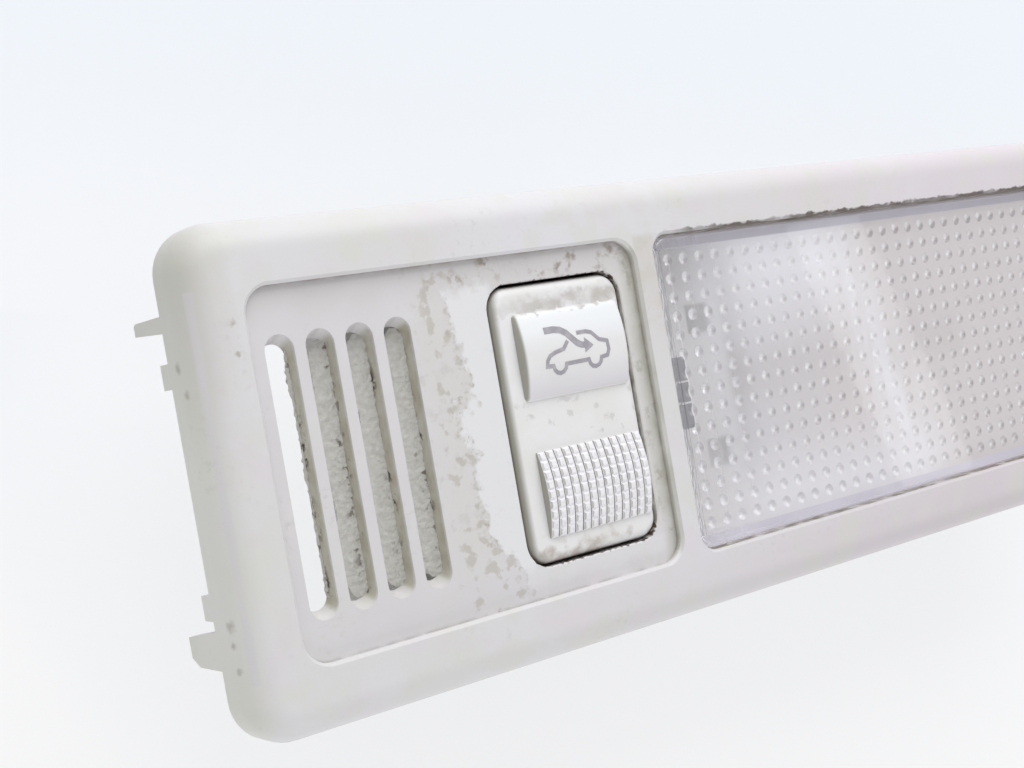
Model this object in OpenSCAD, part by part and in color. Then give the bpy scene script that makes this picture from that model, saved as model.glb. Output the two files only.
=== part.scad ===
// Car dome light: a moulded bezel with a sunk field for air slots and a two-way rocker switch, and a clear
// lamp lens. It lies on its back: X runs along it, Y across it and Z out of its front face.

/* [Bezel] */
// Length of the bezel
bezel_l = 180; // [170:1:220]
// Width of the bezel
bezel_w = 63; // [62:0.5:72]
// Height of the front face above the surface that the light lies on
face_z = 34; // [33:0.5:44]
// Height of the rim
rim_h = 7.3; // [6.5:0.1:9]
// Corner radius of the bezel seen from the front
corner_r = 6; // [5:0.5:9]
// Radius of the rounded front edge
edge_r = 4.4; // [3:0.1:4.8]
// Thickness of the rim and of the front
wall_t = 2.4; // [1.8:0.1:2.8]
// Height of the ribs behind the front
rib_h = 4; // [2:0.5:5]
// Thickness of the ribs behind the front
rib_t = 1.2; // [0.8:0.1:2]
// Distance between the ribs behind the front
rib_pitch = 21; // [15:1:40]

/* [Locating fingers and teeth at the left end] */
// How far the fingers stand out behind the rim
finger_l = 9.2; // [6:0.2:14]
// Thickness of the fingers
finger_t = 2; // [1.5:0.1:2.4]
// Width of the narrow finger
finger_narrow_w = 2.1; // [2:0.1:4]
// Width of the wide finger
finger_wide_w = 4.8; // [4:0.1:6]
// Distance from the bezel's side to the middle of the narrow finger
finger_narrow_in = 11.2; // [9:0.1:14]
// Distance from the bezel's side to the middle of the wide finger
finger_wide_in = 12.2; // [10:0.1:14]
// Chamfer at a finger's tip, as a part of its width
finger_chamfer = 0.28; // [0.1:0.02:0.3]
// How far a finger's inner side leans in, as a part of its width
finger_lean = 0.25; // [0:0.05:0.35]
// Height of the teeth below the rim
tooth_h = 2.4; // [1:0.2:4]
// Width of the teeth
tooth_w = 3.1; // [2:0.1:6]
// Distance from the bezel's side to the middle of each tooth
tooth_in = 17.4; // [17:0.1:22]

/* [Sunk field] */
// Width of the border at the left end
border_left = 7.8; // [7:0.1:12]
// Width of the border along the long sides
border_side = 8.5; // [8:0.1:12]
// Width of the border at the right end
border_right = 8.5; // [8:0.1:14]
// Length of the sunk field
field_l = 60.4; // [58:0.2:66]
// Corner radius of the sunk field
field_r = 3.5; // [2:0.1:6]
// Depth of the sunk field
field_d = 1.2; // [0.6:0.1:2]
// Thickness of the sunk field's floor
floor_t = 2.5; // [1.8:0.1:3.5]
// Chamfer round the sunk field and the openings
lip = 0.4; // [0.2:0.1:0.6]
// Width of the bar between the sunk field and the lens
bar_w = 3.8; // [3.6:0.1:8]

/* [Air slots] */
// Number of slots
slot_n = 4; // [2:1:4]
// Distance between the slots
slot_pitch = 5.55; // [5:0.05:6]
// Width of a slot at the front
slot_w = 4; // [2:0.1:4.4]
// Distance from the slots to the field's edge on the side of the smooth pad
slot_margin_far = 6; // [4:0.1:10]
// Distance from the slots to the field's edge on the side of the knurled pad
slot_margin_near = 5; // [4:0.1:10]
// Distance from the field's edge to the middle of the first slot
slot_first = 4; // [3:0.1:5]
// Draft on each side of a slot
slot_draft = 0.35; // [0.1:0.05:0.6]
// Draft at each end of a slot
slot_end_draft = 1.4; // [0.2:0.1:2]

/* [Rocker switch] */
// Width of the rocker's opening
well_w = 22.9; // [20:0.1:24]
// Distance from the rocker's opening to the field's long sides
well_margin = 3.9; // [3.4:0.1:6]
// Corner radius of the rocker's opening
well_r = 3.5; // [3:0.1:4.5]
// Distance from the rocker's opening to the field's right edge
well_inset = 2.75; // [2.6:0.05:5]
// Gap between the rocker and its opening
rocker_gap = 0.5; // [0.45:0.05:0.8]
// Depth of the rocker's pivot below the front face
pivot_depth = 6.5; // [6.2:0.1:7.5]
// Height of the rocker's top above the field's floor
rocker_rise = 0.1; // [0:0.1:0.5]
// Depth of the rocker's skirt below its pivot
skirt_drop = 2.4; // [2:0.1:3]
// Thickness of the rocker's walls
rocker_t = 1.6; // [1.2:0.1:2]
// Chamfer round the rocker's opening
well_lip = 0.15; // [0.1:0.05:0.4]
// Radius of the rocker's upper edges
rocker_edge_r = 1.6; // [0.8:0.1:2]
// Largest turn of the rocker each way, in degrees
rocker_turn = 6; // [3:0.5:6]
// Radius of the rocker's pivot studs
stud_r = 1.7; // [1.2:0.1:2]
// Length of the rocker's pivot studs
stud_l = 1.9; // [1.5:0.1:2.1]
// Radial clearance of the studs and the plungers
run_clear = 0.05; // [0.02:0.01:0.1]

/* [Rocker pads] */
// Width of both pads
pad_w = 17.8; // [14:0.2:18.4]
// How far the pads sit off the rocker's middle, towards the lens
pad_shift = 1.3; // [0:0.1:1.4]
// Distance from the rocker's end to the smooth pad
pad_smooth_end = 3.6; // [2.5:0.1:5]
// Distance from the pivot line to the smooth pad
pad_smooth_in = 3; // [2:0.1:5]
// Distance from the rocker's end to the knurled pad
pad_knurl_end = 3.2; // [2.5:0.1:5]
// Distance from the pivot line to the knurled pad
pad_knurl_in = 3.8; // [2:0.1:5]
// Height of the pads at their crown
pad_h = 1.5; // [1:0.1:2]
// Height of the pads at their ends
pad_end_h = 0.45; // [0.4:0.05:0.8]
// Number of knurled rows across the pad
knurl_across = 13; // [8:1:16]
// Number of knurled rows along the pad
knurl_along = 9; // [6:1:12]
// Width of the grooves between the knurls
groove_w = 0.35; // [0.2:0.05:0.5]
// Depth of the grooves along the pad
groove_d = 0.35; // [0.2:0.05:0.4]
// Depth of the grooves across the pad
cross_d = 0.22; // [0.1:0.02:0.3]

/* [Switch mechanism] */
// Thickness of the switch housing's walls
housing_t = 1.8; // [1.4:0.1:2]
// Distance from the rocker's end to the middle of each plunger
foot_inset = 7.6; // [7:0.1:9.5]
// Drop from the pivot to the middle of the rocker's foot
foot_drop = 5.5; // [5:0.1:6]
// Radius of the rocker's foot
foot_r = 1.2; // [0.8:0.1:1.4]
// Width of the rocker's foot
foot_w = 6; // [4:0.5:8]
// Gap between the rocker's foot and the plunger
push_gap = 0.25; // [0.2:0.05:0.4]
// Radius of the plunger's head
head_r = 3.4; // [3.2:0.1:4]
// Thickness of the plunger's head
head_t = 1.6; // [1:0.1:2]
// Radius of the plunger's stem
stem_r = 2.4; // [1.8:0.1:2.5]
// Height of the return springs
spring_h = 3.4; // [3:0.1:4]
// Diameter of the spring wire
wire_d = 0.5; // [0.3:0.05:0.5]
// Number of turns of a return spring
spring_turns = 3.5; // [2.5:0.5:4]
// Thickness of the plate that guides the plungers
guide_t = 1.5; // [1:0.1:2]
// Length of the bridging contacts
bridge_l = 12.4; // [10:0.2:14]
// Width of the bridging contacts
bridge_w = 4; // [3:0.2:5]
// Thickness of the contact strips
strip_t = 0.4; // [0.3:0.05:0.6]
// Height of the contact buttons
button_h = 0.3; // [0.2:0.05:0.4]
// Radius of the contact buttons
button_r = 1.1; // [0.8:0.1:1.3]
// Distance between the two rows of terminals
terminal_gap = 9.2; // [8:0.2:10]
// Width of a terminal blade
blade_w = 2.8; // [2:0.1:4]
// Thickness of a terminal blade
blade_t = 0.8; // [0.5:0.1:0.8]
// How far a terminal blade ends above the mouth of its plug socket
blade_setback = 2; // [1:0.5:4]
// Thickness of the switch base
base_t = 2; // [1.5:0.1:2.5]
// Thickness of the walls of both plug sockets
socket_t = 1.6; // [1.2:0.1:2]
// How much wider than its plug socket the switch's opening is, on each side
socket_ledge_w = 3.05; // [2.5:0.05:4]
// How much longer than its plug socket the switch's opening is, at each end
socket_ledge_l = 3.7; // [2.7:0.1:5]
// Outer corner radius of both plug sockets
socket_r = 2; // [1.7:0.1:2.5]

/* [Switch carrier] */
// Depth of the carrier's top below the front face
carrier_depth = 9.5; // [9:0.1:11]
// Thickness of the carrier
carrier_t = 2; // [1.5:0.1:2.5]
// Distance from the field's left edge to the carrier
carrier_inset = 11.2; // [10:0.1:13]
// How far the carrier laps past the sunk field on each long side
carrier_lap = 2; // [1:0.1:2]
// Width of the flange that the switch housing hangs from
flange_w = 1.4; // [1:0.1:1.6]
// Thickness of that flange
flange_t = 1.5; // [1:0.1:2]
// Width of the snap lugs below that flange
lug_w = 6; // [4:0.5:10]
// Reach of the snap lugs
lug_reach = 1; // [0.6:0.1:1.2]
// Height of the rim round the carrier's underside
carrier_rim_h = 2; // [1:0.5:3]
// Thickness of that rim
carrier_rim_t = 1.5; // [1:0.1:2]
// Radius of the ears that the screws go through
ear_r = 3; // [2.8:0.1:3.2]
// Fitting clearance of the parts that clip or drop into each other
fit_clear = 0.1; // [0.05:0.05:0.2]

/* [Lens] */
// Gap round the lens
lens_gap = 0.3; // [0.2:0.05:0.5]
// Depth of the lens below the front face
lens_sink = 0.3; // [0:0.1:0.8]
// Corner radius of the lens opening
lens_r = 2.6; // [2:0.1:5]
// Radius of the lens's front edge
lens_edge_r = 0.7; // [0.3:0.1:1]
// Thickness of the lens
lens_t = 2; // [1.5:0.1:2.5]
// Thickness of the lens's skirt
skirt_t = 1.7; // [1.2:0.1:2]
// Depth of the skirt below the lens's face
skirt_h = 8.2; // [6:0.1:8.6]
// Distance between the dots along the lens
dot_pitch_x = 3.1; // [2.8:0.05:4]
// Distance between the dots across the lens
dot_pitch_y = 2.75; // [2.6:0.05:4]
// Radius of a dot
dot_r = 0.95; // [0.6:0.05:1.2]
// Height of a dot
dot_h = 0.5; // [0.3:0.05:0.8]
// Margin between the dots and the lens's edge
dot_margin = 3.2; // [3:0.1:6]
// Width of the lens's latch, over all its tongues
latch_w = 10; // [6:0.5:14]
// Number of tongues in the latch
tongue_n = 3; // [1:1:4]
// Width of the slits beside the tongues
slit_w = 0.5; // [0.3:0.1:1]
// Width of each hook at the lens's other end
hook_w = 6; // [4:0.5:8]
// Distance of the hooks' middles from the centre line
hook_y = 12; // [9:0.5:14]
// How far the latch and the hooks reach into the collar
nose = 0.9; // [0.5:0.1:1.2]

/* [Lamp housing] */
// Depth of the collar behind the lens opening
collar_h = 9; // [8.8:0.1:11]
// Thickness of the collar
collar_t = 1.8; // [1.4:0.1:2]
// Thickness of the lamp housing's walls
tray_t = 1.6; // [1.2:0.1:2]
// Height of the lamp housing's back above the surface that the light lies on
tray_z = 9; // [8:0.5:10]
// How far the lamp housing's sides lean in
tray_lean = 5; // [3:0.5:6]
// Share of the room left of the bulb that the shelf covers
shelf_share = 0.66; // [0.6:0.02:0.76]
// Side of the square holes in the shelf
peep_w = 4.4; // [3:0.1:5]
// Distance of the square holes from the shelf's free edge
peep_x = 2.6; // [2:0.1:4]
// Distance of the square holes from the centre line
peep_y = 10.3; // [8:0.1:12]
// Inner length of the lamp's plug socket
lamp_socket_l = 16; // [15:0.5:18]
// Inner width of the lamp's plug socket
lamp_socket_w = 7; // [6:0.2:9]
// Distance of the lamp's plug socket from the lens's middle
lamp_socket_x = 10; // [4:0.5:12]
// Width of the lamp's plug blades
lamp_blade_w = 4; // [3:0.1:5]

/* [Bulb] */
// Length of the festoon bulb
bulb_l = 41; // [38:0.5:43]
// Diameter of the bulb's glass
glass_d = 14; // [10:0.5:15]
// Diameter of the bulb's end caps
cap_d = 8.5; // [7:0.1:9]
// Length of an end cap
cap_l = 7.3; // [6.5:0.1:8]
// Thickness of the glass
glass_t = 0.6; // [0.4:0.1:1]
// Gap between the bulb and the lamp housing's floor
bulb_gap = 2.2; // [1:0.1:3]
// Width of the bulb's contact strips
leaf_w = 7; // [6:0.5:9]
// Height of the contact strips above the bulb's axis
leaf_rise = 4.2; // [3.5:0.1:5]

/* [Fasteners] */
// Distance of the screws from the edge of the lens opening
screw_out = 3.8; // [3.6:0.1:4]
// Radius of a screw's shank
shank_r = 1.3; // [1:0.1:1.4]
// Radius of a screw's head
screw_head_r = 2.3; // [2:0.1:2.3]
// Height of a screw's head
screw_head_h = 1.8; // [1:0.1:2]
// Radius of a screw boss
boss_r = 2.5; // [2.2:0.1:2.8]
// Depth of the holes in the screw bosses
pilot_d = 5.6; // [4:0.1:5.8]
// Clearance of a screw in its hole
screw_clear = 0.05; // [0.02:0.01:0.1]

/* [Retaining spring] */
// Width of the retaining spring
clip_w = 14; // [8:0.5:20]
// Thickness of the retaining spring
clip_t = 0.6; // [0.4:0.1:0.8]
// How far the spring bows out of the lamp housing
clip_bow = 5.8; // [4:0.2:6]
// Height of the spring's root
clip_root = 10; // [8:0.5:11]
// Radius of the two pegs that hold the spring
stake_r = 1; // [0.8:0.1:1.3]
// Distance of the pegs from the centre line
stake_y = 3.5; // [2.5:0.1:4]

/* [Hidden] */
$fn = 48;

// Least radius of an inner corner
least_r = 0.3;
// Corner radius of the switch housing
housing_r = 1.5;
// A cut runs this far past the face that it opens
past = 1;
// Pieces of one moulding reach this far into each other
bite = 0.05;

// Places of the sunk field, the rocker and the lens
left_x = -bezel_l / 2;
field_w = bezel_w - 2 * border_side;
field_left = left_x + border_left;
field_right = field_left + field_l;
field_x = (field_left + field_right) / 2;
field_z = face_z - field_d;
floor_z = field_z - floor_t;
back_z = face_z - wall_t;
rim_z = face_z - rim_h;
well_x = field_right - well_inset - well_w / 2;
well_l = field_w - 2 * well_margin;
slot_l = field_w - slot_margin_far - slot_margin_near;
slot_y = (slot_margin_near - slot_margin_far) / 2;
lens_left = field_right + bar_w;
lens_right = bezel_l / 2 - border_right;
open_l = lens_right - lens_left;
open_w = field_w;
lens_x = (lens_left + lens_right) / 2;

// The rocker's outline, and the room that its ends need in the housing when it is turned
rocker_w = well_w - 2 * rocker_gap;
// The pads stay this far from the rocker's sides, and reach this far down into its roof
pad_edge = 0.8;
pad_root = 0.6;
pad_x = max(0, min(pad_shift, (rocker_w - pad_w) / 2 - pad_edge));
rocker_l = well_l - 2 * rocker_gap;
rocker_top = pivot_depth - field_d + rocker_rise;
rocker_reach = (rocker_l / 2 - rocker_edge_r) * cos(rocker_turn)
    + (rocker_top - rocker_edge_r) * sin(rocker_turn) + rocker_edge_r;
foot_y = rocker_l / 2 - foot_inset;
turn_gap = 0.4;
room_l = 2 * max(rocker_reach + turn_gap, well_l / 2);
housing_l = room_l + 2 * housing_t;
socket_w = well_w - 2 * socket_ledge_w;
socket_l = well_l - 2 * socket_ledge_l;

// Heights in the switch, from the pivot down
pivot_z = face_z - pivot_depth;
foot_z = pivot_z - foot_drop - foot_r;
head_z = foot_z - push_gap;
guide_z = head_z - head_t - spring_h;
travel = foot_y * rocker_turn * PI / 180;
travel_spare = 0.25;
contact_spare = 0.15;
bridge_z = guide_z - guide_t - travel - travel_spare;
fixed_z = bridge_z - strip_t - button_h - travel - contact_spare;
fixed_t = 0.5;
fixed_r = button_r + 0.6;
base_z = fixed_z - fixed_t;
base_back = base_z - base_t;
housing_w = well_w + 2 * housing_t;
carrier_z = face_z - carrier_depth;

// Heights in the lamp
lens_z = face_z - lens_sink;
collar_z = face_z - collar_h;
tray_floor = tray_z + tray_t;
bulb_z = tray_floor + bulb_gap + glass_d / 2;
tray_l = open_l + 2 * collar_t;
tray_w = open_w + 2 * collar_t;
tray_flange = 1.8;
lamp_socket_mid = lens_x + lamp_socket_x;
lamp_blade_gap = lamp_socket_l / 2;

// Screws: the carrier's and the lamp housing's
screw_y = open_w / 2 + screw_out;
boss_inset = 6;
tray_boss_inset = 10;
carrier_w = field_w + 2 * carrier_lap;
carrier_left = field_left + carrier_inset;
carrier_gap = 0.4;
carrier_right = lens_left - collar_t - carrier_gap;
carrier_screw_x = [carrier_left + boss_inset, carrier_right - boss_inset];
tray_screw_x = [lens_left + tray_boss_inset, lens_right - tray_boss_inset];
screw_hole_r = shank_r + screw_clear;
through_hole_r = screw_hole_r + 0.3;
head_room = 0.3;

// A flat outline with rounded corners
module rounded_rect(l, w, r) {
    square([l - 2 * r, w], center = true);
    square([l, w - 2 * r], center = true);
    for (sx = [-1, 1], sy = [-1, 1])
        translate([sx * (l / 2 - r), sy * (w / 2 - r)]) circle(r);
}

// A plate with rounded corners, from height z up
module plate(l, w, r, z, h) {
    translate([0, 0, z]) linear_extrude(h) rounded_rect(l, w, r);
}

// Half of a side's section: square below and rounded at the top
module edge_section(rc, re, h) {
    intersection() {
        square([rc, h]);
        union() {
            square([rc, h - re]);
            square([rc - re, h]);
            translate([rc - re, h - re]) circle(re);
        }
    }
}

// A block with rounded corners and a rounded top edge that runs round them
module rounded_block(l, w, h, rc, re) {
    translate([-l / 2 + rc, -w / 2 + rc, 0]) cube([l - 2 * rc, w - 2 * rc, h]);
    for (turn = [0, 180]) rotate(turn) {
        translate([l / 2 - rc, -w / 2 + rc, 0]) mirror([0, 1, 0]) rotate([90, 0, 0])
            linear_extrude(w - 2 * rc) edge_section(rc, re, h);
        translate([l / 2 - rc, w / 2 - rc, 0]) rotate([90, 0, -90]) mirror([1, 0, 0])
            linear_extrude(l - 2 * rc) edge_section(rc, re, h);
        translate([l / 2 - rc, w / 2 - rc, 0]) rotate_extrude(angle = 90) edge_section(rc, re, h);
        translate([-l / 2 + rc, w / 2 - rc, 0]) rotate(90) rotate_extrude(angle = 90) edge_section(rc, re, h);
    }
}

// The cut for a chamfer round an opening in a face at height z
module lip_cut(l, w, r, z, c) {
    h = c + past;
    side_x = l / 2 - r;
    side_y = w / 2 - r;
    translate([0, 0, z - c]) {
        for (sx = [-1, 1], sy = [-1, 1]) translate([sx * side_x, sy * side_y, 0]) cylinder(h, r, r + h);
        rotate([90, 0, 0]) linear_extrude(2 * side_y, center = true)
            polygon([[-l / 2, 0], [l / 2, 0], [l / 2 + h, h], [-l / 2 - h, h]]);
        rotate([90, 0, 90]) linear_extrude(2 * side_x, center = true)
            polygon([[-w / 2, 0], [w / 2, 0], [w / 2 + h, h], [-w / 2 - h, h]]);
    }
}

// A section with rounded top corners, centred on the height axis
module dome_section(w, low, high, r) {
    translate([-w / 2, low]) square([w, high - low - r]);
    translate([-w / 2 + r, low]) square([w - 2 * r, high - low]);
    for (s = [-1, 1]) translate([s * (w / 2 - r), high - r]) circle(r);
}

// A section drawn in Y and Z, extruded along X over the width w
module along_x(w) {
    rotate([90, 0, 90]) linear_extrude(w, center = true) children();
}

// A section drawn in X and Z, extruded along Y over the width w
module along_y(w) {
    rotate([90, 0, 0]) linear_extrude(w, center = true) children();
}

// The outline of a bent strip: the points are its middle line and t its thickness
function heading(a, b) = (b - a) / norm(b - a);
function miter(p, i, t) = let (
    a = heading(p[max(i - 1, 0)], p[max(i, 1)]),
    b = heading(p[min(i, len(p) - 2)], p[min(i + 1, len(p) - 1)]),
    m = heading([0, 0], [-(a + b)[1], (a + b)[0]])
) m * (t / 2) / (m * [-a[1], a[0]]);
function strip(p, t) = concat(
    [for (i = [0 : len(p) - 1]) p[i] + miter(p, i, t)],
    [for (i = [len(p) - 1 : -1 : 0]) p[i] - miter(p, i, t)]
);

// Bezel: one moulding

// One air slot: its walls have draft, and its ends slope more
module slot_cut() {
    hull() {
        for (s = [-1, 1]) {
            translate([0, s * (slot_l - slot_w) / 2, field_z]) cylinder(past, r = slot_w / 2, $fn = 28);
            translate([0, s * ((slot_l - slot_w) / 2 - slot_end_draft + slot_draft), floor_z - past])
                cylinder(past, r = slot_w / 2 - slot_draft, $fn = 28);
        }
    }
}

// A locating finger: its outer corner and its outer face are chamfered at the tip, and its inner side leans in
module finger(w, y, outward) {
    corner = finger_chamfer * w;
    lean = finger_lean * w;
    bevel = 0.3;
    top = rim_z + bite;
    tip = rim_z - finger_l;
    intersection() {
        translate([left_x, y, 0]) scale([1, outward, 1]) translate([finger_t / 2, 0, 0]) along_x(finger_t)
            polygon([[-w / 2, top], [w / 2, top], [w / 2, tip + 2 * corner], [w / 2 - corner, tip],
                [lean - w / 2, tip]]);
        translate([left_x, y, 0]) along_y(w + past)
            polygon([[0, top], [finger_t, top], [finger_t, tip], [bevel, tip], [0, tip + 2 * bevel]]);
    }
}

module shell() {
    difference() {
        translate([0, 0, rim_z]) rounded_block(bezel_l, bezel_w, rim_h, corner_r, edge_r);
        translate([0, 0, rim_z - past])
            rounded_block(bezel_l - 2 * wall_t, bezel_w - 2 * wall_t, rim_h - wall_t + past,
                corner_r - wall_t, max(edge_r - wall_t, least_r));
    }
}

// Ribs between the rim and the sunk field or the collar, on both long sides
module front_ribs() {
    from_y = open_w / 2 + collar_t - bite;
    to_y = bezel_w / 2 - wall_t + bite;
    n = floor((bezel_l / 2 - corner_r) / rib_pitch);
    for (i = [-n : n], s = [-1, 1])
        translate([i * rib_pitch - rib_t / 2, s > 0 ? from_y : -to_y, back_z - rib_h + bite])
            cube([rib_t, to_y - from_y, rib_h]);
}

module bezel() color("#dedad3") {
    pad_l = field_l + 2 * wall_t;
    pad_y = field_w + 2 * wall_t;
    difference() {
        union() {
            shell();
            translate([field_x, 0, 0]) plate(pad_l, pad_y, field_r + wall_t, floor_z, back_z - floor_z + bite);
            translate([lens_x, 0, 0])
                plate(tray_l, tray_w, lens_r + collar_t, collar_z, back_z - collar_z + bite);
            for (x = carrier_screw_x, s = [-1, 1])
                translate([x, s * screw_y, carrier_z]) cylinder(back_z - carrier_z + bite, r = boss_r);
            for (x = tray_screw_x, s = [-1, 1])
                translate([x, s * screw_y, collar_z]) cylinder(back_z - collar_z + bite, r = boss_r);
            front_ribs();
            finger(finger_narrow_w, bezel_w / 2 - finger_narrow_in, 1);
            finger(finger_wide_w, finger_wide_in - bezel_w / 2, -1);
            for (s = [-1, 1])
                translate([left_x, s * (bezel_w / 2 - tooth_in) - tooth_w / 2, rim_z - tooth_h])
                    cube([finger_t, tooth_w, tooth_h + bite]);
        }
        translate([field_x, 0, 0]) {
            plate(field_l, field_w, field_r, field_z, field_d + past);
            lip_cut(field_l, field_w, field_r, face_z, lip);
        }
        translate([lens_x, 0, 0]) {
            plate(open_l, open_w, lens_r, collar_z - past, collar_h + 2 * past);
            lip_cut(open_l, open_w, lens_r, face_z, lip);
        }
        translate([well_x, 0, 0]) {
            plate(well_w, well_l, well_r, floor_z - past, floor_t + 2 * past);
            lip_cut(well_w, well_l, well_r, field_z, well_lip);
        }
        for (i = [0 : slot_n - 1])
            translate([field_left + slot_first + i * slot_pitch, slot_y, 0]) slot_cut();
        for (x = carrier_screw_x, s = [-1, 1])
            translate([x, s * screw_y, carrier_z - past]) cylinder(pilot_d + past, r = screw_hole_r);
        for (x = tray_screw_x, s = [-1, 1])
            translate([x, s * screw_y, collar_z - past]) cylinder(pilot_d + past, r = screw_hole_r);
        latch_windows();
    }
}

// The lens's noses and the windows that they snap into have one height
nose_h = 1.6;
nose_up = 0.6;
nose_z = lens_z - skirt_h + nose_up;
nose_clear = 0.2;

module latch_windows() {
    reach = nose + collar_t;
    h = nose_h + 2 * nose_clear;
    translate([lens_left - reach, -latch_w / 2 - nose_clear, nose_z - nose_clear])
        cube([reach + past, latch_w + 2 * nose_clear, h]);
    for (s = [-1, 1])
        translate([lens_right - past, s * hook_y - hook_w / 2 - nose_clear, nose_z - nose_clear])
            cube([reach + past, hook_w + 2 * nose_clear, h]);
}

// Lens: clear moulding with rows of dots on its inner side

lens_l = open_l - 2 * lens_gap;
lens_w = open_w - 2 * lens_gap;
lens_corner_r = lens_r - lens_gap;

// A nose: flat above, sloping below, with its root inside the skirt
module nose_bar(w) {
    reach = lens_gap + nose + bite;
    bevel = 0.3;
    along_y(w) polygon([[0, 0], [0, nose_h], [reach - bevel, nose_h], [reach, nose_h - bevel], [2 * bite, 0]]);
}

module lens_noses() {
    translate([lens_x - lens_l / 2 + bite, 0, nose_z]) mirror([1, 0, 0]) nose_bar(latch_w);
    for (s = [-1, 1]) translate([lens_x + lens_l / 2 - bite, s * hook_y, nose_z]) nose_bar(hook_w);
}

// Slits on both sides of each tongue of the latch
module lens_slits() {
    for (i = [0 : tongue_n])
        translate([lens_left - nose - past, (i / tongue_n - 0.5) * (latch_w + slit_w) - slit_w / 2,
            lens_z - skirt_h - past])
            cube([nose + lens_gap + skirt_t + 2 * past, slit_w, skirt_h - lens_t]);
}

module lens_dots() {
    nx = floor((open_l - 2 * dot_margin) / dot_pitch_x);
    ny = floor((open_w - 2 * dot_margin) / dot_pitch_y);
    for (i = [0 : nx], j = [0 : ny])
        translate([lens_x + (i - nx / 2) * dot_pitch_x, (j - ny / 2) * dot_pitch_y, lens_z - lens_t - dot_h])
            cylinder(dot_h + bite, dot_r * 0.25, dot_r, $fn = 16);
}

module lens() color("#e9e8ee", 0.55) {
    difference() {
        union() {
            translate([lens_x, 0, lens_z - skirt_h])
                rounded_block(lens_l, lens_w, skirt_h, lens_corner_r, lens_edge_r);
            lens_noses();
        }
        translate([lens_x, 0, 0]) plate(lens_l - 2 * skirt_t, lens_w - 2 * skirt_t,
            max(lens_corner_r - skirt_t, least_r), lens_z - skirt_h - past, skirt_h - lens_t + past);
        lens_slits();
    }
    lens_dots();
}

// Rocker: its origin is its pivot line

module rocker_feet() {
    roof = rocker_top - rocker_t;
    for (s = [-1, 1]) translate([0, s * foot_y, 0]) along_x(foot_w) {
        translate([-foot_r, -foot_drop]) square([2 * foot_r, foot_drop + roof + bite]);
        translate([0, -foot_drop]) circle(foot_r);
    }
}

// Radius of the arc that a pad's crown follows
function crown_r(l) = let (sag = pad_h - pad_end_h) (l * l / 4 + sag * sag) / (2 * sag);

module pad_body(l, w, cut) {
    r = crown_r(l);
    intersection() {
        translate([0, 0, rocker_top + pad_h - r]) rotate([0, 90, 0])
            cylinder(w, r = r - cut, center = true, $fn = 96);
        translate([-w / 2, -l / 2, rocker_top - pad_root]) cube([w, l, pad_root + pad_h + bite]);
    }
}

// Ribs along the pad over a lower core, with shallower grooves cut across them
module knurled_pad() {
    l = rocker_l / 2 - pad_knurl_end - pad_knurl_in;
    r = crown_r(l);
    rib = (pad_w + groove_w) / knurl_across;
    angle = 2 * asin(l / 2 / r);
    pad_body(l, pad_w, groove_d);
    difference() {
        for (i = [0 : knurl_across - 1])
            translate([(i - (knurl_across - 1) / 2) * rib, 0, 0]) pad_body(l, rib - groove_w, 0);
        for (j = [1 : knurl_along - 1])
            translate([0, 0, rocker_top + pad_h - r]) rotate([(j / knurl_along - 0.5) * angle, 0, 0])
                translate([0, 0, r]) cube([pad_w + past, groove_w, 2 * cross_d], center = true);
    }
}

module rocker_shape() {
    difference() {
        intersection() {
            along_x(rocker_w + past) dome_section(rocker_l, -skirt_drop, rocker_top, rocker_edge_r);
            along_y(rocker_l + past) dome_section(rocker_w, -skirt_drop, rocker_top, rocker_edge_r);
            plate(rocker_w, rocker_l, well_r - rocker_gap,
                -skirt_drop - past, rocker_top + skirt_drop + 2 * past);
        }
        plate(rocker_w - 2 * rocker_t, rocker_l - 2 * rocker_t, max(well_r - rocker_gap - rocker_t, least_r),
            -skirt_drop - past, rocker_top + skirt_drop - rocker_t + past);
    }
    rocker_feet();
    translate([pad_x, (rocker_l / 2 - pad_smooth_end + pad_smooth_in) / 2, 0])
        pad_body(rocker_l / 2 - pad_smooth_end - pad_smooth_in, pad_w, 0);
    translate([pad_x, -(rocker_l / 2 - pad_knurl_end + pad_knurl_in) / 2, 0]) knurled_pad();
    for (s = [-1, 1]) translate([s * (rocker_w / 2 - bite), 0, 0]) rotate([0, s * 90, 0])
        cylinder(stud_l + bite, r = stud_r);
}

module rocker() color("#e4e2dc") translate([well_x, 0, pivot_z]) rocker_shape();

// Switch housing: it drops through the carrier from the front, and its lugs snap below the carrier

module switch_housing() color("#c9cac2") translate([well_x, 0, 0]) {
    lug_z = carrier_z - carrier_t - fit_clear;
    lug_edge = 0.5;
    lug_h = 3;
    difference() {
        union() {
            plate(housing_w, housing_l, housing_r, base_back, floor_z - base_back);
            plate(housing_w + 2 * flange_w, housing_l + 2 * flange_w, housing_r, carrier_z, flange_t);
            for (s = [-1, 1]) scale([1, s, 1]) translate([0, housing_l / 2 - bite, lug_z]) along_x(lug_w)
                polygon([[0, 0], [lug_reach + bite, 0], [lug_reach + bite, -lug_edge], [0, -lug_h]]);
        }
        plate(well_w, room_l, housing_r, guide_z, floor_z - guide_z + past);
        plate(well_w, room_l, housing_r, base_back - past, guide_z - guide_t - base_back + past);
        for (s = [-1, 1]) translate([0, s * foot_y, guide_z - guide_t - past])
            cylinder(guide_t + 2 * past, r = stem_r + run_clear);
        translate([0, 0, pivot_z]) rotate([0, 90, 0])
            cylinder(housing_w + 2 * past, r = stud_r + run_clear, center = true);
    }
}

// Switch carrier: a plate with a rim below and an ear at each screw

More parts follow.
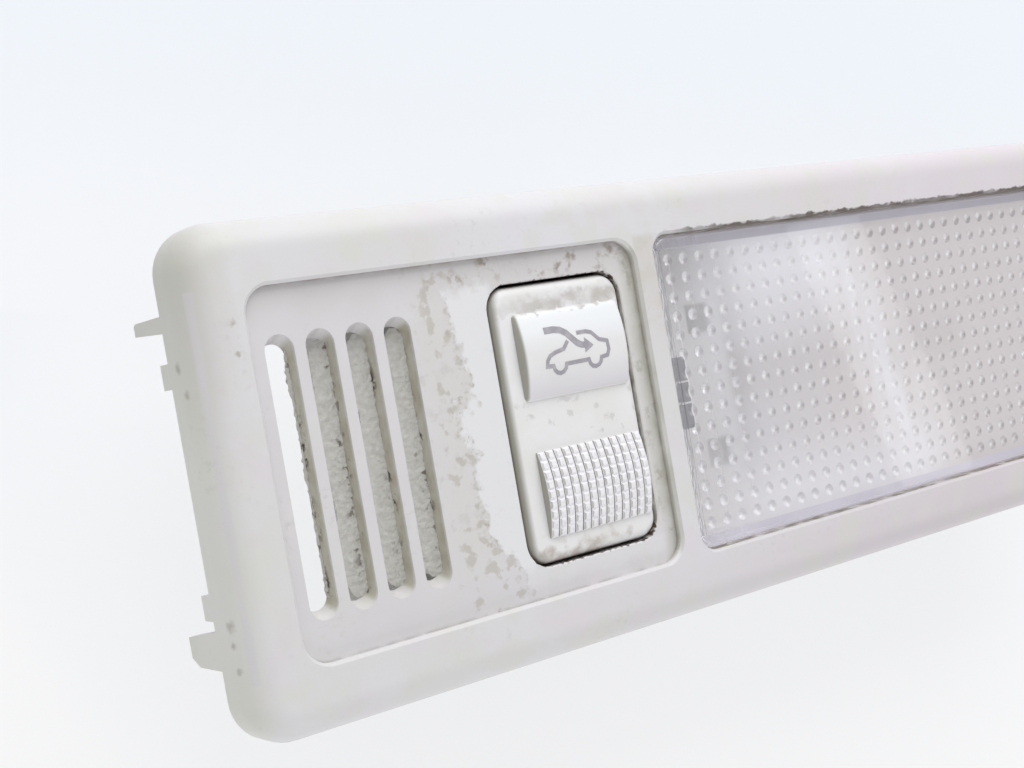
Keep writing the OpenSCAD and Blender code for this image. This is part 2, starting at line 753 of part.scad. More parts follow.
module switch_carrier() color("#d4d5ce") {
    carrier_l = carrier_right - carrier_left;
    carrier_r = 2;
    window_gap = 0.2;
    low = carrier_z - carrier_t;
    all_h = carrier_rim_h + carrier_t;
    difference() {
        union() {
            translate([(carrier_left + carrier_right) / 2, 0, 0]) difference() {
                plate(carrier_l, carrier_w, carrier_r, low - carrier_rim_h, all_h);
                plate(carrier_l - 2 * carrier_rim_t, carrier_w - 2 * carrier_rim_t,
                    max(carrier_r - carrier_rim_t, least_r), low - carrier_rim_h - past, carrier_rim_h + past);
            }
            for (x = carrier_screw_x, s = [-1, 1]) {
                translate([x, s * screw_y, low]) cylinder(carrier_t, r = ear_r);
                translate([x - ear_r, s > 0 ? carrier_w / 2 - carrier_rim_t : -screw_y, low])
                    cube([2 * ear_r, screw_y - carrier_w / 2 + carrier_rim_t, carrier_t]);
            }
        }
        translate([well_x, 0, 0]) plate(housing_w + 2 * window_gap, housing_l + 2 * window_gap, housing_r,
            low - carrier_rim_h - past, all_h + 2 * past);
        for (x = carrier_screw_x, s = [-1, 1]) translate([x, s * screw_y, 0]) {
            translate([0, 0, low - past]) cylinder(carrier_t + 2 * past, r = through_hole_r);
            translate([0, 0, low - carrier_rim_h - past])
                cylinder(carrier_rim_h + past, r = screw_head_r + head_room);
        }
    }
}

// Switch base: it closes the housing from below and carries the plug socket

module switch_base() color("#3b3c3e") translate([well_x, 0, 0]) {
    slot_room = 0.05;
    difference() {
        union() {
            plate(well_w - 2 * fit_clear, room_l - 2 * fit_clear, housing_r - fit_clear, base_back, base_t);
            plate(socket_w + 2 * socket_t, socket_l + 2 * socket_t, socket_r, 0, base_back + bite);
        }
        plate(socket_w, socket_l, socket_r - socket_t, -past, base_back + past);
        for (sx = [-1, 1], sy = [-1, 1])
            translate([sx * terminal_gap / 2, sy * foot_y, base_back + base_t / 2])
                cube([blade_t + 2 * slot_room, blade_w + 2 * slot_room, base_t + 2 * past], center = true);
    }
}

// Switch terminals: four blades, each with a fixed contact on top

module switch_terminals() color("#c7a04a") translate([well_x, 0, 0]) {
    for (sx = [-1, 1], sy = [-1, 1]) translate([sx * terminal_gap / 2, sy * foot_y, 0]) {
        translate([-blade_t / 2, -blade_w / 2, blade_setback])
            cube([blade_t, blade_w, base_z - blade_setback + bite]);
        translate([0, 0, base_z]) cylinder(fixed_t, r = fixed_r);
    }
}

// Plungers, their springs and the bridging contacts, at the side s of the pivot

stub_r = 1;
stub_l = strip_t + 0.2;

module plunger(s) translate([well_x, s * foot_y, 0]) {
    translate([0, 0, head_z - head_t]) cylinder(head_t, r = head_r);
    translate([0, 0, bridge_z]) cylinder(head_z - head_t - bridge_z + bite, r = stem_r);
    translate([0, 0, bridge_z - stub_l]) cylinder(stub_l + bite, r = stub_r);
}

module contact_bridge(s) translate([well_x, s * foot_y, 0]) {
    difference() {
        translate([-bridge_l / 2, -bridge_w / 2, bridge_z - strip_t]) cube([bridge_l, bridge_w, strip_t]);
        translate([0, 0, bridge_z - strip_t - past]) cylinder(strip_t + 2 * past, r = stub_r + run_clear);
    }
    for (sx = [-1, 1]) translate([sx * terminal_gap / 2, 0, bridge_z - strip_t - button_h])
        cylinder(button_h + bite, r = button_r);
}

// The wire of a return spring, swept along its helix
module return_spring(s) {
    sides = 6;
    steps = 12;
    seat_gap = 0.05;
    rings = spring_turns * steps;
    coil_r = stem_r + wire_d / 2 + 0.15;
    low = guide_z + wire_d / 2 + seat_gap;
    rise = spring_h - wire_d - 2 * seat_gap;
    points = [for (i = [0 : rings]) let (turn = 360 * i / steps)
        for (k = [0 : sides - 1]) let (a = 360 * k / sides, r = coil_r + cos(a) * wire_d / 2)
            [r * cos(turn), r * sin(turn), low + rise * i / rings + sin(a) * wire_d / 2]];
    walls = [for (i = [0 : rings - 1], k = [0 : sides - 1]) let (n = (k + 1) % sides)
        [i * sides + k, (i + 1) * sides + k, (i + 1) * sides + n, i * sides + n]];
    ends = [[for (k = [0 : sides - 1]) k], [for (k = [sides - 1 : -1 : 0]) rings * sides + k]];
    translate([well_x, s * foot_y, 0]) polyhedron(points, concat(walls, ends), convexity = 6);
}

module plunger_open() color("#e8e6df") plunger(1);
module plunger_close() color("#e8e6df") plunger(-1);
module spring_open() color("#8e9296") return_spring(1);
module spring_close() color("#8e9296") return_spring(-1);
module contact_open() color("#b87333") contact_bridge(1);
module contact_close() color("#b87333") contact_bridge(-1);

// Lamp housing: white tray with leaning sides, a shelf at its left end and a plug socket behind

module leaning_box(l, w, z, h, lean) {
    intersection() {
        translate([0, 0, z]) along_y(w)
            polygon([[-l / 2 + lean, 0], [l / 2 - lean, 0], [l / 2, h], [-l / 2, h]]);
        translate([0, 0, z]) along_x(l)
            polygon([[-w / 2 + lean, 0], [w / 2 - lean, 0], [w / 2, h], [-w / 2, h]]);
    }
}

// X of the housing's right end wall at height z, on its outer side
function tray_end(z) = lens_x + tray_l / 2 - tray_lean * (collar_z - z) / (collar_z - tray_z);

// The two pegs that are melted over the retaining spring
module spring_pegs() {
    head_r = stake_r + 0.6;
    neck_l = tray_t / 2 + 2 * clip_t;
    for (s = [-1, 1]) translate([tray_end(clip_peg_z) - tray_t / 2, s * stake_y, clip_peg_z]) rotate([0, 90, 0]) {
        cylinder(neck_l + bite, r = stake_r);
        translate([0, 0, neck_l]) cylinder(0.8, head_r, stake_r);
    }
}

module lamp_housing() color("#f2f1ee") {
    h = collar_z - tray_z;
    shelf_left = lens_x - tray_l / 2 + tray_t;
    shelf_l = shelf_share * (lens_x - leaf_x - 2 * leaf_t - leaf_lip - shelf_left);
    shelf_end = shelf_left + shelf_l;
    flange_z = collar_z - tray_flange;
    difference() {
        union() {
            difference() {
                translate([lens_x, 0, 0]) leaning_box(tray_l, tray_w, tray_z, h, tray_lean);
                translate([lens_x, 0, 0])
                    leaning_box(tray_l - 2 * tray_t, tray_w - 2 * tray_t, tray_floor, h - tray_t + bite,
                        tray_lean);
            }
            translate([lens_x, 0, 0]) difference() {
                plate(tray_l, tray_w, lens_r + collar_t, flange_z, tray_flange);
                plate(open_l, open_w, lens_r, flange_z - past, tray_flange + 2 * past);
            }
            translate([shelf_left, -tray_w / 2 + tray_t, collar_z - tray_t])
                cube([shelf_l, tray_w - 2 * tray_t, tray_t]);
            for (x = tray_screw_x, s = [-1, 1]) {
                translate([x, s * screw_y, flange_z]) cylinder(tray_flange, r = ear_r);
                translate([x - ear_r, s > 0 ? tray_w / 2 - collar_t : -screw_y, flange_z])
                    cube([2 * ear_r, screw_y - tray_w / 2 + collar_t, tray_flange]);
            }
            translate([lamp_socket_mid, 0, 0])
                plate(lamp_socket_l + 2 * socket_t, lamp_socket_w + 2 * socket_t, socket_r, 0, tray_z + bite);
            spring_pegs();
        }
        for (s = [-1, 1])
            translate([shelf_end - peep_x - peep_w, s * peep_y - peep_w / 2, collar_z - tray_t - past])
                cube([peep_w, peep_w, tray_t + 2 * past]);
        for (x = tray_screw_x, s = [-1, 1]) translate([x, s * screw_y, flange_z - past])
            cylinder(tray_flange + 2 * past, r = through_hole_r);
        translate([lamp_socket_mid, 0, 0])
            plate(lamp_socket_l, lamp_socket_w, socket_r - socket_t, -past, tray_z + past);
        for (s = [-1, 1]) translate([lamp_socket_mid + s * lamp_blade_gap / 2, 0, tray_z + tray_t / 2])
            cube([blade_t + 2 * fit_clear, lamp_blade_w + 2 * fit_clear, tray_t + 2 * past], center = true);
    }
}

// Festoon bulb along X

cap_tip_r = 1.2;
cap_cone = 1.8;
cap_overlap = 2;
cap_x = bulb_l / 2 - cap_l;

module bulb_glass() color("#f4f3ea", 0.4) translate([lens_x, 0, bulb_z]) rotate([0, 90, 0]) {
    neck_r = cap_d / 2 - glass_t;
    bulge = glass_d / 2 - neck_r;
    end_x = cap_x + cap_overlap;
    body_x = cap_x - fit_clear;
    shape = [for (a = [-90 : 10 : 90]) [neck_r + bulge * pow(abs(cos(a)), 0.5), body_x * sin(a)]];
    rotate_extrude() difference() {
        polygon(concat([[0, -end_x], [neck_r, -end_x]], shape, [[neck_r, end_x], [0, end_x]]));
        polygon(concat([[0, -end_x + glass_t], [neck_r - glass_t, -end_x + glass_t]],
            [for (p = shape) [p[0] - glass_t, p[1] * (1 - glass_t / body_x)]],
            [[neck_r - glass_t, end_x - glass_t], [0, end_x - glass_t]]));
    }
}

module bulb_cap(s) translate([lens_x, 0, bulb_z]) rotate([0, s * 90, 0]) {
    r = cap_d / 2;
    difference() {
        rotate_extrude() polygon([[0, cap_x], [r, cap_x], [r, bulb_l / 2 - cap_cone], [cap_tip_r, bulb_l / 2],
            [0, bulb_l / 2]]);
        translate([0, 0, cap_x - past])
            cylinder(past + cap_overlap + fit_clear, r = r - glass_t + fit_clear / 2);
    }
}

module bulb_cap_left() color("#b9bbbd") bulb_cap(-1);
module bulb_cap_right() color("#b9bbbd") bulb_cap(1);

// Filament: a lead through the bulb with a thicker coil in the middle
module bulb_filament() color("#6d6a66") translate([lens_x, 0, bulb_z]) rotate([0, 90, 0]) {
    lead_l = 2 * (cap_x + cap_overlap - glass_t - fit_clear);
    cylinder(lead_l, r = 0.25, center = true, $fn = 16);
    cylinder(lead_l / 2, r = 0.6, center = true, $fn = 16);
}

// Contact strips of the bulb: an upright leaf at the side s, a run under the bulb and a plug blade

leaf_t = 0.5;
leaf_x = bulb_l / 2 - cap_cone * 0.35;
leaf_lip = 1.6;
leaf_bend = 1.2;
leaf_hole_r = 2.5;

module lamp_leaf(s) {
    upright_x = leaf_x + leaf_t / 2;
    floor_mid = tray_floor + leaf_t / 2;
    difference() {
        translate([lens_x, 0, 0]) scale([s, 1, 1]) along_y(leaf_w) polygon(strip([
            [upright_x + leaf_lip, bulb_z + leaf_rise + leaf_lip], [upright_x, bulb_z + leaf_rise],
            [upright_x, floor_mid + leaf_bend], [upright_x - leaf_bend, floor_mid],
            [upright_x - leaf_w, floor_mid]], leaf_t));
        translate([lens_x + s * upright_x, 0, bulb_z]) rotate([0, 90, 0])
            cylinder(leaf_t + 2 * past, r = leaf_hole_r, center = true);
    }
}

module lamp_contact(s) {
    from_x = lens_x + s * (leaf_x - leaf_w / 2);
    blade_x = lamp_socket_mid + s * lamp_blade_gap / 2;
    lamp_leaf(s);
    translate([min(from_x, blade_x - s * blade_t / 2), -lamp_blade_w / 2, tray_floor])
        cube([abs(from_x - blade_x) + blade_t / 2, lamp_blade_w, leaf_t]);
    translate([blade_x - blade_t / 2, -lamp_blade_w / 2, blade_setback])
        cube([blade_t, lamp_blade_w, tray_floor + leaf_t - blade_setback]);
}

module lamp_contact_left() color("#c8b27a") lamp_contact(-1);
module lamp_contact_right() color("#c8b27a") lamp_contact(1);

// Screws: pan heads below the ears, shanks up into the bosses

module screw(z, grip) {
    end_gap = 0.4;
    shank_l = grip + pilot_d - end_gap;
    recess_l = screw_head_r * 1.1;
    recess_w = 0.7;
    recess_d = 1;
    edge_h = screw_head_h / 2;
    difference() {
        union() {
            translate([0, 0, z - edge_h]) cylinder(edge_h + shank_l, r = shank_r);
            translate([0, 0, z - screw_head_h])
                cylinder(screw_head_h - edge_h, screw_head_r * 0.7, screw_head_r);
            translate([0, 0, z - edge_h]) cylinder(edge_h, r = screw_head_r);
        }
        for (a = [0, 90]) rotate(a) translate([-recess_l / 2, -recess_w / 2, z - screw_head_h - past])
            cube([recess_l, recess_w, past + recess_d]);
    }
}

module carrier_screws() color("#9a9ea2") for (x = carrier_screw_x, s = [-1, 1])
    translate([x, s * screw_y, 0]) screw(carrier_z - carrier_t, carrier_t);

module lamp_housing_screws() color("#9a9ea2") for (x = tray_screw_x, s = [-1, 1])
    translate([x, s * screw_y, 0]) screw(collar_z - tray_flange, tray_flange);

// Retaining spring: a bent steel strip, pegged to the lamp housing's right end wall

clip_top = collar_z - tray_flange - 0.3;
clip_low = clip_top - clip_root;
clip_peg_z = clip_top - clip_root * 0.4;
clip_bend = 1.2;
clip_tip = 2.4;

module retaining_spring() color("#a4a8ac") {
    off = clip_t * 0.6;
    low_x = tray_end(clip_low) + off;
    turn_x = low_x + clip_bend;
    apex_x = tray_end(clip_top) + clip_bow;
    apex_z = clip_top - clip_root / 2;
    difference() {
        along_y(clip_w) polygon(strip([
            [tray_end(clip_top) + off, clip_top], [low_x, clip_low], [turn_x, clip_low - clip_bend],
            [turn_x + clip_bend, clip_low - clip_bend / 2], [apex_x, apex_z],
            [apex_x - clip_bend / 4, apex_z + clip_bend], [apex_x - clip_tip, clip_top]], clip_t));
        for (s = [-1, 1]) translate([tray_end(clip_peg_z) - past, s * stake_y, clip_peg_z]) rotate([0, 90, 0])
            cylinder(2 * past + clip_t, r = stake_r + fit_clear);
    }
}

bezel();
lens();
rocker();
switch_housing();
switch_carrier();
switch_base();
switch_terminals();
plunger_open();
plunger_close();
spring_open();
spring_close();
contact_open();
contact_close();
lamp_housing();
bulb_glass();
bulb_cap_left();
bulb_cap_right();
bulb_filament();
lamp_contact_left();
lamp_contact_right();
carrier_screws();
lamp_housing_screws();
retaining_spring();
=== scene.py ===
import math

import bpy
from mathutils import Matrix, Vector
from mathutils.noise import seed_set, turbulence_vector


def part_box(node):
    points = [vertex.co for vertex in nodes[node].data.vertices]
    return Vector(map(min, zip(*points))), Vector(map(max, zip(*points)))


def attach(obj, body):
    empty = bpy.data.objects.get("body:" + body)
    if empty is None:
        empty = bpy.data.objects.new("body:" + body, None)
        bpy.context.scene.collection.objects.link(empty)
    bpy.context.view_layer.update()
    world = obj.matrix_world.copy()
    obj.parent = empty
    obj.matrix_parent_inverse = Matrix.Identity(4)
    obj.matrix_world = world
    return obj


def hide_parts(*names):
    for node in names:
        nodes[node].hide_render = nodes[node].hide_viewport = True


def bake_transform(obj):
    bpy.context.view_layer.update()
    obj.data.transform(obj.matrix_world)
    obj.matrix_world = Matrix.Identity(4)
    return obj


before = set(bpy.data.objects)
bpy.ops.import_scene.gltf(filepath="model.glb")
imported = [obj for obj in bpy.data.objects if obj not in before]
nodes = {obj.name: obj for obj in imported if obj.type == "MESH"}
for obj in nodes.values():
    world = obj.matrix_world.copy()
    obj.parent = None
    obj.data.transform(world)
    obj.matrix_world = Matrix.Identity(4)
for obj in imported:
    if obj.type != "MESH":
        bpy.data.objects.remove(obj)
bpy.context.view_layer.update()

MM = 0.001

# ---- Bezel ------------------------------------------------------------------------------------
# The off-white frame that shows in the roof lining: one injection moulding in ABS with a fine
# spark-eroded grain on its front, a sunk field with four air slots, and openings for the switch
# and the lens. Years of use have yellowed it and left grime in its corners.


def bare():
    """Leaves edit mode with nothing selected."""
    if bpy.context.object and bpy.context.object.mode != "OBJECT":
        bpy.ops.object.mode_set(mode="OBJECT")
    bpy.ops.object.select_all(action="DESELECT")


def work_on(piece):
    """Makes a piece the only one selected, and opens it in edit mode."""
    bare()
    piece.select_set(True)
    bpy.context.view_layer.objects.active = piece
    bpy.ops.object.mode_set(mode="EDIT")


def merged(node, name, smooth_to):
    """Copies a CAD node's loose triangles, and merges them into one smooth skin."""
    piece = bpy.data.objects.new(name, nodes[node].data.copy())
    bpy.context.scene.collection.objects.link(piece)
    work_on(piece)
    bpy.ops.mesh.select_all(action="SELECT")
    bpy.ops.mesh.remove_doubles(threshold=0.002 * MM)
    bpy.ops.mesh.customdata_custom_splitnormals_clear()
    bpy.ops.mesh.dissolve_limited(angle_limit=math.radians(0.3))
    bpy.ops.object.mode_set(mode="OBJECT")
    bpy.ops.object.shade_smooth_by_angle(angle=math.radians(smooth_to))
    piece.data.materials.clear()
    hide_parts(node)
    return piece


def linear(hex_colour):
    """Turns an sRGB hex colour into the linear one that a socket takes."""
    parts = [int(hex_colour[i:i + 2], 16) / 255 for i in (1, 3, 5)]
    return [p / 12.92 if p <= 0.04045 else ((p + 0.055) / 1.055) ** 2.4 for p in parts] + [1]


def new_material(name):
    """Starts a node material, and gives it with its shader."""
    material = bpy.data.materials.new(name)
    material.use_nodes = True
    return material, material.node_tree.nodes["Principled BSDF"]


def add(material, kind, sockets=(), **settings):
    """Adds one node with its settings, its values and its links."""
    node = material.node_tree.nodes.new(kind)
    for name, value in settings.items():
        setattr(node, name, value)
    for socket, value in dict(sockets).items():
        if isinstance(value, bpy.types.NodeSocket):
            material.node_tree.links.new(value, node.inputs[socket])
        else:
            node.inputs[socket].default_value = value
    return node


def finish(shader, sockets):
    """Sets numbers or colours that are the same all over a piece."""
    for name, value in sockets.items():
        shader.inputs[name].default_value = value


def join(material, output, shader, socket):
    """Links a node's output to a shader."""
    material.node_tree.links.new(output, shader.inputs[socket])


def measured(material):
    """Gives a place on the piece in mm, and the way that its surface faces."""
    place = add(material, "ShaderNodeTexCoord").outputs
    in_mm = add(material, "ShaderNodeMapping", {0: place["Object"], 3: (1 / MM, 1 / MM, 1 / MM)})
    return in_mm.outputs[0], place["Normal"]


# Moulded ABS, spark-eroded grain: soft, nearly matt, off-white turned slightly ivory.
bezel_abs, skin = new_material("ABS moulded, fine grain, aged")
in_mm, faces = measured(bezel_abs)
at_x, at_y, at_z = add(bezel_abs, "ShaderNodeSeparateXYZ", {0: in_mm}).outputs
faces_x, faces_y = add(bezel_abs, "ShaderNodeSeparateXYZ", {0: faces}).outputs[:2]


def zone(material, *bands):
    """Multiplies the shares, from 0 to 1, to which a place lies in some bands. A band is a share,
    or a value with the two levels between which its share changes, from 0 to 1 or as given."""
    share = None
    for band in bands:
        if isinstance(band, tuple):
            value, start, end, *shares = band
            sockets = {0: value, 1: start, 2: end, **dict(zip((3, 4), shares))}
            band = add(material, "ShaderNodeMapRange", sockets).outputs[0]
        share = band if share is None else add(
            material, "ShaderNodeMath", {0: share, 1: band}, operation="MULTIPLY").outputs[0]
    return share


def patches(material, where, size_mm, detail, *levels):
    """Gives soft patches of a size in mm: noise, cut between two levels as a band is."""
    raw = add(material, "ShaderNodeTexNoise", {0: where, "Scale": 1 / size_mm, "Detail": detail})
    return zone(material, (raw.outputs[0], *levels)) if levels else raw.outputs[0]


def stain(material, under, colour, *bands):
    """Lays a colour over another where some bands overlap."""
    return add(material, "ShaderNodeMix", {0: zone(material, *bands), 6: under, 7: linear(colour)},
               data_type="RGBA").outputs[2]


# Yellowing drifts over some 40 mm, and the frame turns faintly pink towards its right end.
base = stain(bezel_abs, linear("#e1dfe2"), "#dddcd9", patches(bezel_abs, in_mm, 40, 3, 0.35, 0.65))
base = stain(bezel_abs, base, "#ded5da", (at_x, -20, 50),
             patches(bezel_abs, in_mm, 25, 4, 0.3, 0.6, 0.5, 1))
base = stain(bezel_abs, base, "#d6ced2", (at_y, -20, -26, 0, 0.6), (at_x, -60, 20))
# Faint greenish and pinkish clouds, some 6 mm across, lie all over it.
base = stain(bezel_abs, base, "#dadacf", patches(bezel_abs, in_mm, 6, 4, 0.5, 0.64, 0, 0.4))
pink = add(bezel_abs, "ShaderNodeMapping", {0: in_mm, 1: (70, 30, 0)}).outputs[0]
base = stain(bezel_abs, base, "#e0d4dc", patches(bezel_abs, pink, 7, 3, 0.52, 0.66, 0, 0.3))
# The faces that look left are painted greenish grey, as shade on that side, and the area near the
# left end's far corner is darker still.
left_side_shade = zone(bezel_abs, (faces_x, -0.35, -0.9),
               patches(bezel_abs, in_mm, 14, 4, 0.3, 0.65, 0.45, 1))
base = stain(bezel_abs, base, "#dadacf", left_side_shade)
far_corner_darkening = zone(bezel_abs, (at_x, -83, -89), (at_y, 2, 24), 0.75)
base = stain(bezel_abs, base, "#c6c4bb", far_corner_darkening)

# The sunk field is soiled, except for a strip beside the rocker that a cloth has cleaned. The
# strip's left edge is ragged and runs from 53 mm left of the middle to 47 mm at the lower end.
ragged = add(bezel_abs, "ShaderNodeMath",
             {0: patches(bezel_abs, in_mm, 7, 3, 0.3, 0.7, -2.2, 2.2),
              1: patches(bezel_abs, in_mm, 1.1, 3, 0.2, 0.8, -1.1, 1.1)},
             operation="ADD").outputs[0]
edge_x = add(bezel_abs, "ShaderNodeMath",
             {0: zone(bezel_abs, (at_y, -23, -13, 6.0, 0)), 1: ragged}, operation="ADD").outputs[0]
off_edge = add(bezel_abs, "ShaderNodeMath", {0: at_x, 1: edge_x}, operation="SUBTRACT").outputs[0]
off_middle = add(bezel_abs, "ShaderNodeMath", {0: at_y}, operation="ABSOLUTE").outputs[0]
in_field = zone(bezel_abs, (at_z, 33.3, 32.95), (at_z, 32.2, 32.6), (off_middle, 23.4, 23.2),
                (at_x, -21.5, -21.7))
strip_end = add(bezel_abs, "ShaderNodeMath", {0: at_y, 1: ragged}, operation="ADD").outputs[0]
beside = add(bezel_abs, "ShaderNodeMath", {0: zone(bezel_abs, (at_x, -46, -47)),
                                           1: zone(bezel_abs, (at_y, -18.6, -19.4))},
             operation="MAXIMUM").outputs[0]
wiped = zone(bezel_abs, (off_edge, -53.4, -52.5), (strip_end, 19.8, 17.6),
             (strip_end, -23.5, -21), beside, in_field)
soiled = zone(bezel_abs, in_field, (wiped, 0, 1, 1, 0))
base = stain(bezel_abs, base, "#dad7d8", soiled,
             patches(bezel_abs, in_mm, 8, 4, 0.35, 0.65, 0.45, 1))
# Left of the wiped strip lies the thickest film, and the tide mark at the strip's edge is darker.
film = zone(bezel_abs, soiled, (at_x, -60, -57),
            patches(bezel_abs, in_mm, 4, 4, 0.3, 0.6, 0.4, 0.9), (at_y, -19, -13))
base = stain(bezel_abs, base, "#dad8d4", film)
# Below the field's far wall the field is painted darker, as shade under the wall.
shaded = zone(bezel_abs, in_field, (at_y, 17, 22),
              patches(bezel_abs, in_mm, 6, 3, 0.3, 0.6, 0.6, 1))
base = stain(bezel_abs, base, "#d3cfcf", shaded)
tide = zone(bezel_abs, (off_edge, -54.6, -53.2), (off_edge, -52.9, -53.1), in_field,
            (at_y, 19, 18), (at_y, -23, -21),
            patches(bezel_abs, in_mm, 0.8, 5, 0.5, 0.66, 0, 0.55))
base = stain(bezel_abs, base, "#eaeaeb", wiped, (at_y, -19.6, -18, 0.1, 0.85))
base = stain(bezel_abs, base, "#a59d90", tide)
# Small beige spots lie between the slots and the tide mark.
beige = zone(bezel_abs, in_field, (at_x, -60, -57), (off_edge, -52, -54),
             patches(bezel_abs, in_mm, 1.8, 5, 0.54, 0.62), 0.4)
base = stain(bezel_abs, base, "#a99e8c", beige)

# Brown blotches lie on the soiled field, thickest above the rocker and at the field's far edge.
blotch = zone(bezel_abs, patches(bezel_abs, in_mm, 3.2, 5, 0.5, 0.62),
              patches(bezel_abs, in_mm, 0.9, 5, 0.42, 0.6))
thick = zone(bezel_abs, (at_x, -24.8, -23))
for elsewhere in (zone(bezel_abs, (at_y, 18.8, 20.2), (at_x, -55, -50)),
                  zone(bezel_abs, (at_x, -58.5, -56, 0, 0.16), (at_y, -20, -12))):
    thick = add(bezel_abs, "ShaderNodeMath", {0: thick, 1: elsewhere},
                operation="MAXIMUM").outputs[0]
base = stain(bezel_abs, base, "#8f8273", blotch, soiled, thick, 0.75)
# A greenish film lies in the groove along the field's right edge.
groove = zone(bezel_abs, in_field, (at_x, -24.3, -22.4),
              patches(bezel_abs, in_mm, 4, 4, 0.3, 0.6, 0.4, 0.95))
base = stain(bezel_abs, base, "#b5b4a9", groove)
# The wall at that edge, which looks left, is darker: grime and painted shade. The bar beside it
# has yellowed towards its far end.
wall = zone(bezel_abs, (faces_x, -0.3, -0.7), (at_x, -22.6, -22.2), (at_x, -20, -21),
            patches(bezel_abs, in_mm, 6, 4, 0.3, 0.6, 0.1, 0.5))
base = stain(bezel_abs, base, "#aaa99c", wall)
bar = zone(bezel_abs, (at_x, -22, -21.5), (at_x, -17.6, -18.2), (at_y, 2, 18),
           (off_middle, 23.6, 22.8), patches(bezel_abs, in_mm, 3, 4, 0.3, 0.6, 0.4, 1), 0.8)
base = stain(bezel_abs, base, "#d0ccc3", bar)

# Dark grime edges the rocker's opening, with painted shade where the gap falls dark: thick at its
# two ends, and a thin line down its left.
# The opening is 22.9 by 38.2 mm, with corners of 3.4 mm.
WELL_MIDDLE, WELL_INNER, WELL_CORNER = (36, 0, 0), (8.05, 15.7, 0), 3.4


def off_corners(material, where, middle, inner, corner):
    """Gives the distance from the outline of a rounded rectangle, which is less than 0 inside."""
    flat = add(material, "ShaderNodeMapping", {0: where, 1: middle, 3: (1, 1, 0)}).outputs[0]
    flat = add(material, "ShaderNodeVectorMath", {0: flat}, operation="ABSOLUTE").outputs[0]
    flat = add(material, "ShaderNodeVectorMath", {0: flat, 1: inner},
               operation="SUBTRACT").outputs[0]
    flat = add(material, "ShaderNodeVectorMath", {0: flat, 1: (0, 0, 0)},
               operation="MAXIMUM").outputs[0]
    flat = add(material, "ShaderNodeVectorMath", {0: flat}, operation="LENGTH").outputs["Value"]
    return add(material, "ShaderNodeMath", {0: flat, 1: corner}, operation="SUBTRACT").outputs[0]


off_well = off_corners(bezel_abs, in_mm, WELL_MIDDLE, WELL_INNER, WELL_CORNER)
gap_edge_grime_and_shade = off_well
for raggedness in (patches(bezel_abs, in_mm, 0.8, 5, 0.3, 0.7, -0.12, 0.4),
                   zone(bezel_abs, (off_middle, 13, 18, 0.6, 0))):
    gap_edge_grime_and_shade = add(bezel_abs, "ShaderNodeMath", {0: gap_edge_grime_and_shade, 1: raggedness},
                 operation="ADD").outputs[0]
gap_edge_grime_and_shade = zone(bezel_abs, (gap_edge_grime_and_shade, 0.2, 0.05), (at_z, 30.8, 31.4), (at_x, -21, -24, 0, 1))
base = stain(bezel_abs, base, "#46362f", gap_edge_grime_and_shade, (off_well, 3, 2))
# A dark ragged line lies in the gap along the lens's far side: dust, and painted shade of the gap.
gap_dust_and_shade = add(bezel_abs, "ShaderNodeMath",
               {0: at_y, 1: patches(bezel_abs, in_mm, 1.2, 5, 0.3, 0.7, -0.3, 0.3)},
               operation="ADD").outputs[0]
gap_dust_and_shade = zone(bezel_abs, (gap_dust_and_shade, 23.5, 23.25), (at_y, 22.8, 22.95), (at_x, -18, -10),
                (at_x, 78, 76), (at_z, 31, 32),
                patches(bezel_abs, in_mm, 6, 4, 0.35, 0.55, 0.3, 0.9))
base = stain(bezel_abs, base, "#5a4f46", gap_dust_and_shade)
# The long near side, which lies against the roof lining's edge, is painted dull grey: a painted
# contact shadow along that edge.
painted_contact_shadow = zone(bezel_abs, (faces_y, -0.9, -0.985, 0, 0.6))
base = stain(bezel_abs, base, "#aaa49f", painted_contact_shadow)

# Faint speckles everywhere, about 0.6 mm across.
speck = zone(bezel_abs, patches(bezel_abs, in_mm, 9, 4, 0.5, 0.7),
             patches(bezel_abs, in_mm, 0.9, 5, 0.56, 0.7), 0.16)
base = stain(bezel_abs, base, "#8f8778", speck)

# A few brown spots on the left end: each one's place and radius in mm.
spots = 0.0
for spot_x, spot_y, spot_z, spot_r in (
        (-84.2, 19, 34, 0.5), (-84.2, 15.3, 34, 0.35), (-90, -16.1, 31, 0.8),
        (-90, -18.4, 31, 0.55), (-90, -21.5, 31.3, 0.5), (-89.9, 11.5, 30.5, 0.6),
        (-90, 14.8, 29.5, 0.7)):
    away = add(bezel_abs, "ShaderNodeVectorMath", {0: in_mm, 1: (spot_x, spot_y, spot_z)},
               operation="DISTANCE").outputs["Value"]
    away = add(bezel_abs, "ShaderNodeMath",
               {0: away, 1: patches(bezel_abs, in_mm, 0.8, 3, 0.3, 0.7, -0.25, 0.25)},
               operation="ADD").outputs[0]
    spots = add(bezel_abs, "ShaderNodeMath",
                {0: spots, 1: zone(bezel_abs, (away, spot_r * 1.3, spot_r * 0.3, 0, 0.5))},
                operation="MAXIMUM").outputs[0]
base = stain(bezel_abs, base, "#8c8170", spots)

